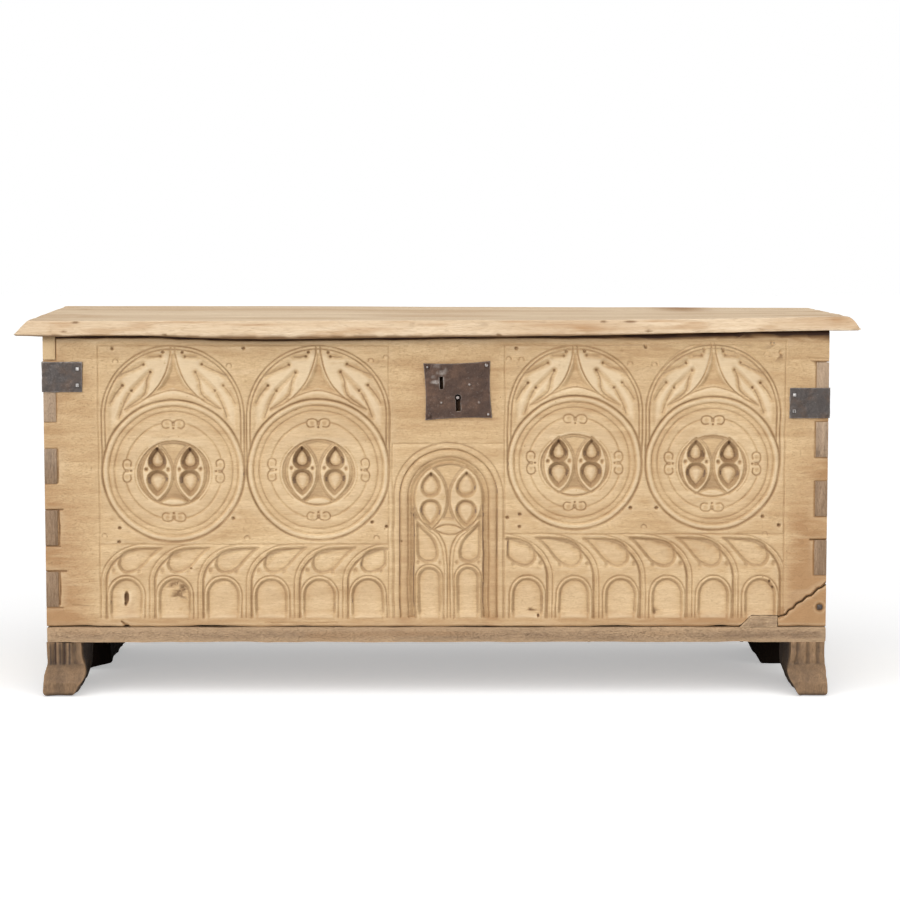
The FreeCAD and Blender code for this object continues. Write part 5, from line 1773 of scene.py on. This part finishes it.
class COFFER_OT_forge_straps(bpy.types.Operator):
    """Forge the corner irons and the hinge straps, leaves and pins"""

    bl_idname = "coffer.forge_straps"
    bl_label = "Forge the straps"

    def execute(self, context):
        wear = context.scene.coffer_wear
        for seed, node in enumerate(("left_corner_iron", "right_corner_iron")):
            piece = copy_of_node("hammered_" + node, node)
            remesh(piece, wear.iron_voxel, smoothing=2)
            dent(piece, wear.hammer_marks, cell=0.014, seed=81 + 3 * seed)
            set_values(piece, "wear", wear_of(piece, rounds=8, reach=0.0008))
            finish_piece(piece, "case", [node], [strap_iron()])
        for body, part in (("lid", "lid_strap"), ("case", "hinge_leaf"), ("case", "hinge_pin")):
            for side in ("left", "right"):
                node = f"{side}_{part}"
                piece = copy_of_node("eased_" + node, node)
                ease_edges(piece, wear.iron_edge)
                finish_piece(piece, body, [node], [strap_iron()])
        return {"FINISHED"}


class COFFER_OT_drive_nails(bpy.types.Operator):
    """Dress the forged nails with eased heads"""

    bl_idname = "coffer.drive_nails"
    bl_label = "Drive the nails"

    def execute(self, context):
        edge = context.scene.coffer_wear.iron_edge
        bodies = {"corner_iron_nails": "case", "hinge_leaf_nails": "case", "corner_piece_nail": "case",
                  "lid_strap_nails": "lid"}
        for node, body in bodies.items():
            piece = copy_of_node("eased_" + node, node)
            ease_edges(piece, edge)
            if node == "corner_iron_nails":
                self.rub_and_highlight_heads(piece, context.scene.coffer_wear.nail_voxel)
            finish_piece(piece, body, [node], [nail_iron()])
        return {"FINISHED"}

    def rub_and_highlight_heads(self, piece, voxel):
        """Rounds the heads on the irons, and rubs their crowns bright with a painted highlight."""
        remesh(piece, voxel, smoothing=24)
        points = points_of(piece)
        reach = np.maximum(
            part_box("left_corner_iron")[0][1] - points[:, 1],
            np.abs(points[:, 0]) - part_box("right_corner_iron")[1][0],
        )
        set_values(piece, "wear", ramp(reach, 0.0010, 0.0018))


class COFFER_OT_finish_works(bpy.types.Operator):
    """Give the lock's works and the hidden nails their iron"""

    bl_idname = "coffer.finish_works"
    bl_label = "Finish the works"

    def execute(self, context):
        works = {"lock_bolt": lock_iron, "lock_bolt_guides": lock_iron, "lock_bridge": lock_iron,
                 "lock_drill_pin": rubbed_iron, "lock_spring": lock_iron, "bottom_nails": strap_iron,
                 "foot_nails": strap_iron}
        for node, finish in works.items():
            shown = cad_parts[node]
            shown.data.materials.clear()
            shown.data.materials.append(finish())
        return {"FINISHED"}


# Stage


class COFFER_OT_set_stage(bpy.types.Operator):
    """Lay the floor, hang the lamps and place the camera"""

    bl_idname = "coffer.set_stage"
    bl_label = "Set the stage"

    # Where the lamps shine: the key from the left in front, the pool slanting in over the floor
    KEY_HEADING = (0.36, 1.0, -0.34)
    TOP_HEADING = (0.0, 0.2, -1.0)
    POOL_HEADING = (0.0, 1.3, -1.0)

    def execute(self, context):
        stage = context.scene.coffer_stage
        floor = self.floor(stage)
        self.sky(stage)
        key = self.lamp("key_light", stage.key, stage.key_width, self.KEY_HEADING)
        top = self.lamp("top_light", stage.top, stage.top_width, self.TOP_HEADING)
        pool = self.lamp("floor_light", stage.pool, stage.pool_width, self.POOL_HEADING)
        for lamp, state in ((key, "EXCLUDE"), (top, "EXCLUDE"), (pool, "INCLUDE")):
            self.link(lamp, floor, state)
        self.camera(stage)
        context.scene.view_settings.view_transform = "Standard"
        return {"FINISHED"}

    def floor(self, stage):
        bpy.ops.object.select_all(action="DESELECT")
        bpy.ops.mesh.primitive_plane_add(size=stage.floor_size)
        floor = bpy.context.active_object
        floor.name = "pale_floor"
        material = bpy.data.materials.new("pale_floor_paint")
        material.use_nodes = True
        shader = material.node_tree.nodes["Principled BSDF"]
        shader.inputs["Roughness"].default_value = 0.9
        shader.inputs["Specular IOR Level"].default_value = 0.1
        shader.inputs["Emission Color"].default_value = (1.0, 1.0, 1.0, 1.0)
        tree, colours = material.node_tree, bpy.context.scene.coffer_colours
        seen = tree.nodes.new("ShaderNodeLightPath").outputs["Is Camera Ray"]
        tree.links.new(mix(tree, seen, colours.floor, colours.floor_seen), shader.inputs["Base Color"])
        tree.links.new(maths(tree, "MULTIPLY", seen, stage.floor_glow), shader.inputs["Emission Strength"])
        floor.data.materials.append(material)
        return floor

    def sky(self, stage):
        """White to the eye all round, and softer as a light."""
        world = bpy.data.worlds.new("studio_sky")
        world.use_nodes = True
        tree = world.node_tree
        background = tree.nodes["Background"]
        background.inputs["Color"].default_value = (1.0, 1.0, 1.0, 1.0)
        seen = tree.nodes.new("ShaderNodeLightPath").outputs["Is Camera Ray"]
        strength = remap(tree, seen, 0.0, 1.0, stage.sky, 1.0)
        tree.links.new(strength, background.inputs["Strength"])
        bpy.context.scene.world = world

    def lamp(self, name, strength, width, heading):
        """A broad soft light that shines along its heading."""
        light = bpy.data.lights.new(name, "SUN")
        light.energy = strength
        light.angle = width
        lamp = bpy.data.objects.new(name, light)
        bpy.context.scene.collection.objects.link(lamp)
        lamp.rotation_euler = Vector(heading).to_track_quat("-Z", "Y").to_euler()
        return lamp

    def link(self, lamp, piece, state):
        """Lets a lamp light only this piece, or all but this piece."""
        lit = bpy.data.collections.new(lamp.name + "_receivers")
        lit.objects.link(piece)
        lit.collection_objects[0].light_linking.link_state = state
        lamp.light_linking.receiver_collection = lit

    def camera(self, stage):
        lens = bpy.data.cameras.new("photograph_camera")
        lens.lens = stage.camera_lens
        lens.sensor_width = 36.0
        lens.clip_end = 200.0
        camera = bpy.data.objects.new("photograph_camera", lens)
        bpy.context.scene.collection.objects.link(camera)
        camera.location = (stage.camera_side, -stage.camera_away, stage.camera_height)
        camera.rotation_euler = (math.pi / 2 - stage.camera_dip, 0.0, stage.camera_turn)
        bpy.context.scene.camera = camera


# Add-on


OPERATORS = (
    COFFER_OT_carve_front,
    COFFER_OT_raise_walls,
    COFFER_OT_lay_bottom,
    COFFER_OT_shape_feet,
    COFFER_OT_shape_lid,
    COFFER_OT_forge_lock_plate,
    COFFER_OT_forge_straps,
    COFFER_OT_drive_nails,
    COFFER_OT_finish_works,
    COFFER_OT_set_stage,
)
SETTINGS = {
    "coffer_carving": CofferCarving,
    "coffer_wear": CofferWear,
    "coffer_colours": CofferColours,
    "coffer_stage": CofferStage,
}


class COFFER_PT_workshop(bpy.types.Panel):
    """The coffer's steps and settings"""

    bl_idname = "COFFER_PT_workshop"
    bl_label = "Coffer"
    bl_space_type = "VIEW_3D"
    bl_region_type = "UI"
    bl_category = "Coffer"

    def draw(self, context):
        for operator in OPERATORS:
            self.layout.operator(operator.bl_idname)
        for name, group in SETTINGS.items():
            box = self.layout.box()
            box.label(text=group.__doc__)
            settings = getattr(context.scene, name)
            for setting in setting_names(settings):
                box.prop(settings, setting)


def register():
    for name, group in SETTINGS.items():
        bpy.utils.register_class(group)
        setattr(bpy.types.Scene, name, bpy.props.PointerProperty(type=group))
    for operator in OPERATORS:
        bpy.utils.register_class(operator)
    bpy.utils.register_class(COFFER_PT_workshop)


def unregister():
    bpy.utils.unregister_class(COFFER_PT_workshop)
    for operator in reversed(OPERATORS):
        bpy.utils.unregister_class(operator)
    for name, group in SETTINGS.items():
        delattr(bpy.types.Scene, name)
        bpy.utils.unregister_class(group)


def main():
    register()
    for operator in OPERATORS:
        getattr(bpy.ops.coffer, operator.bl_idname.split(".")[1])()


if __name__ == "__main__":
    main()
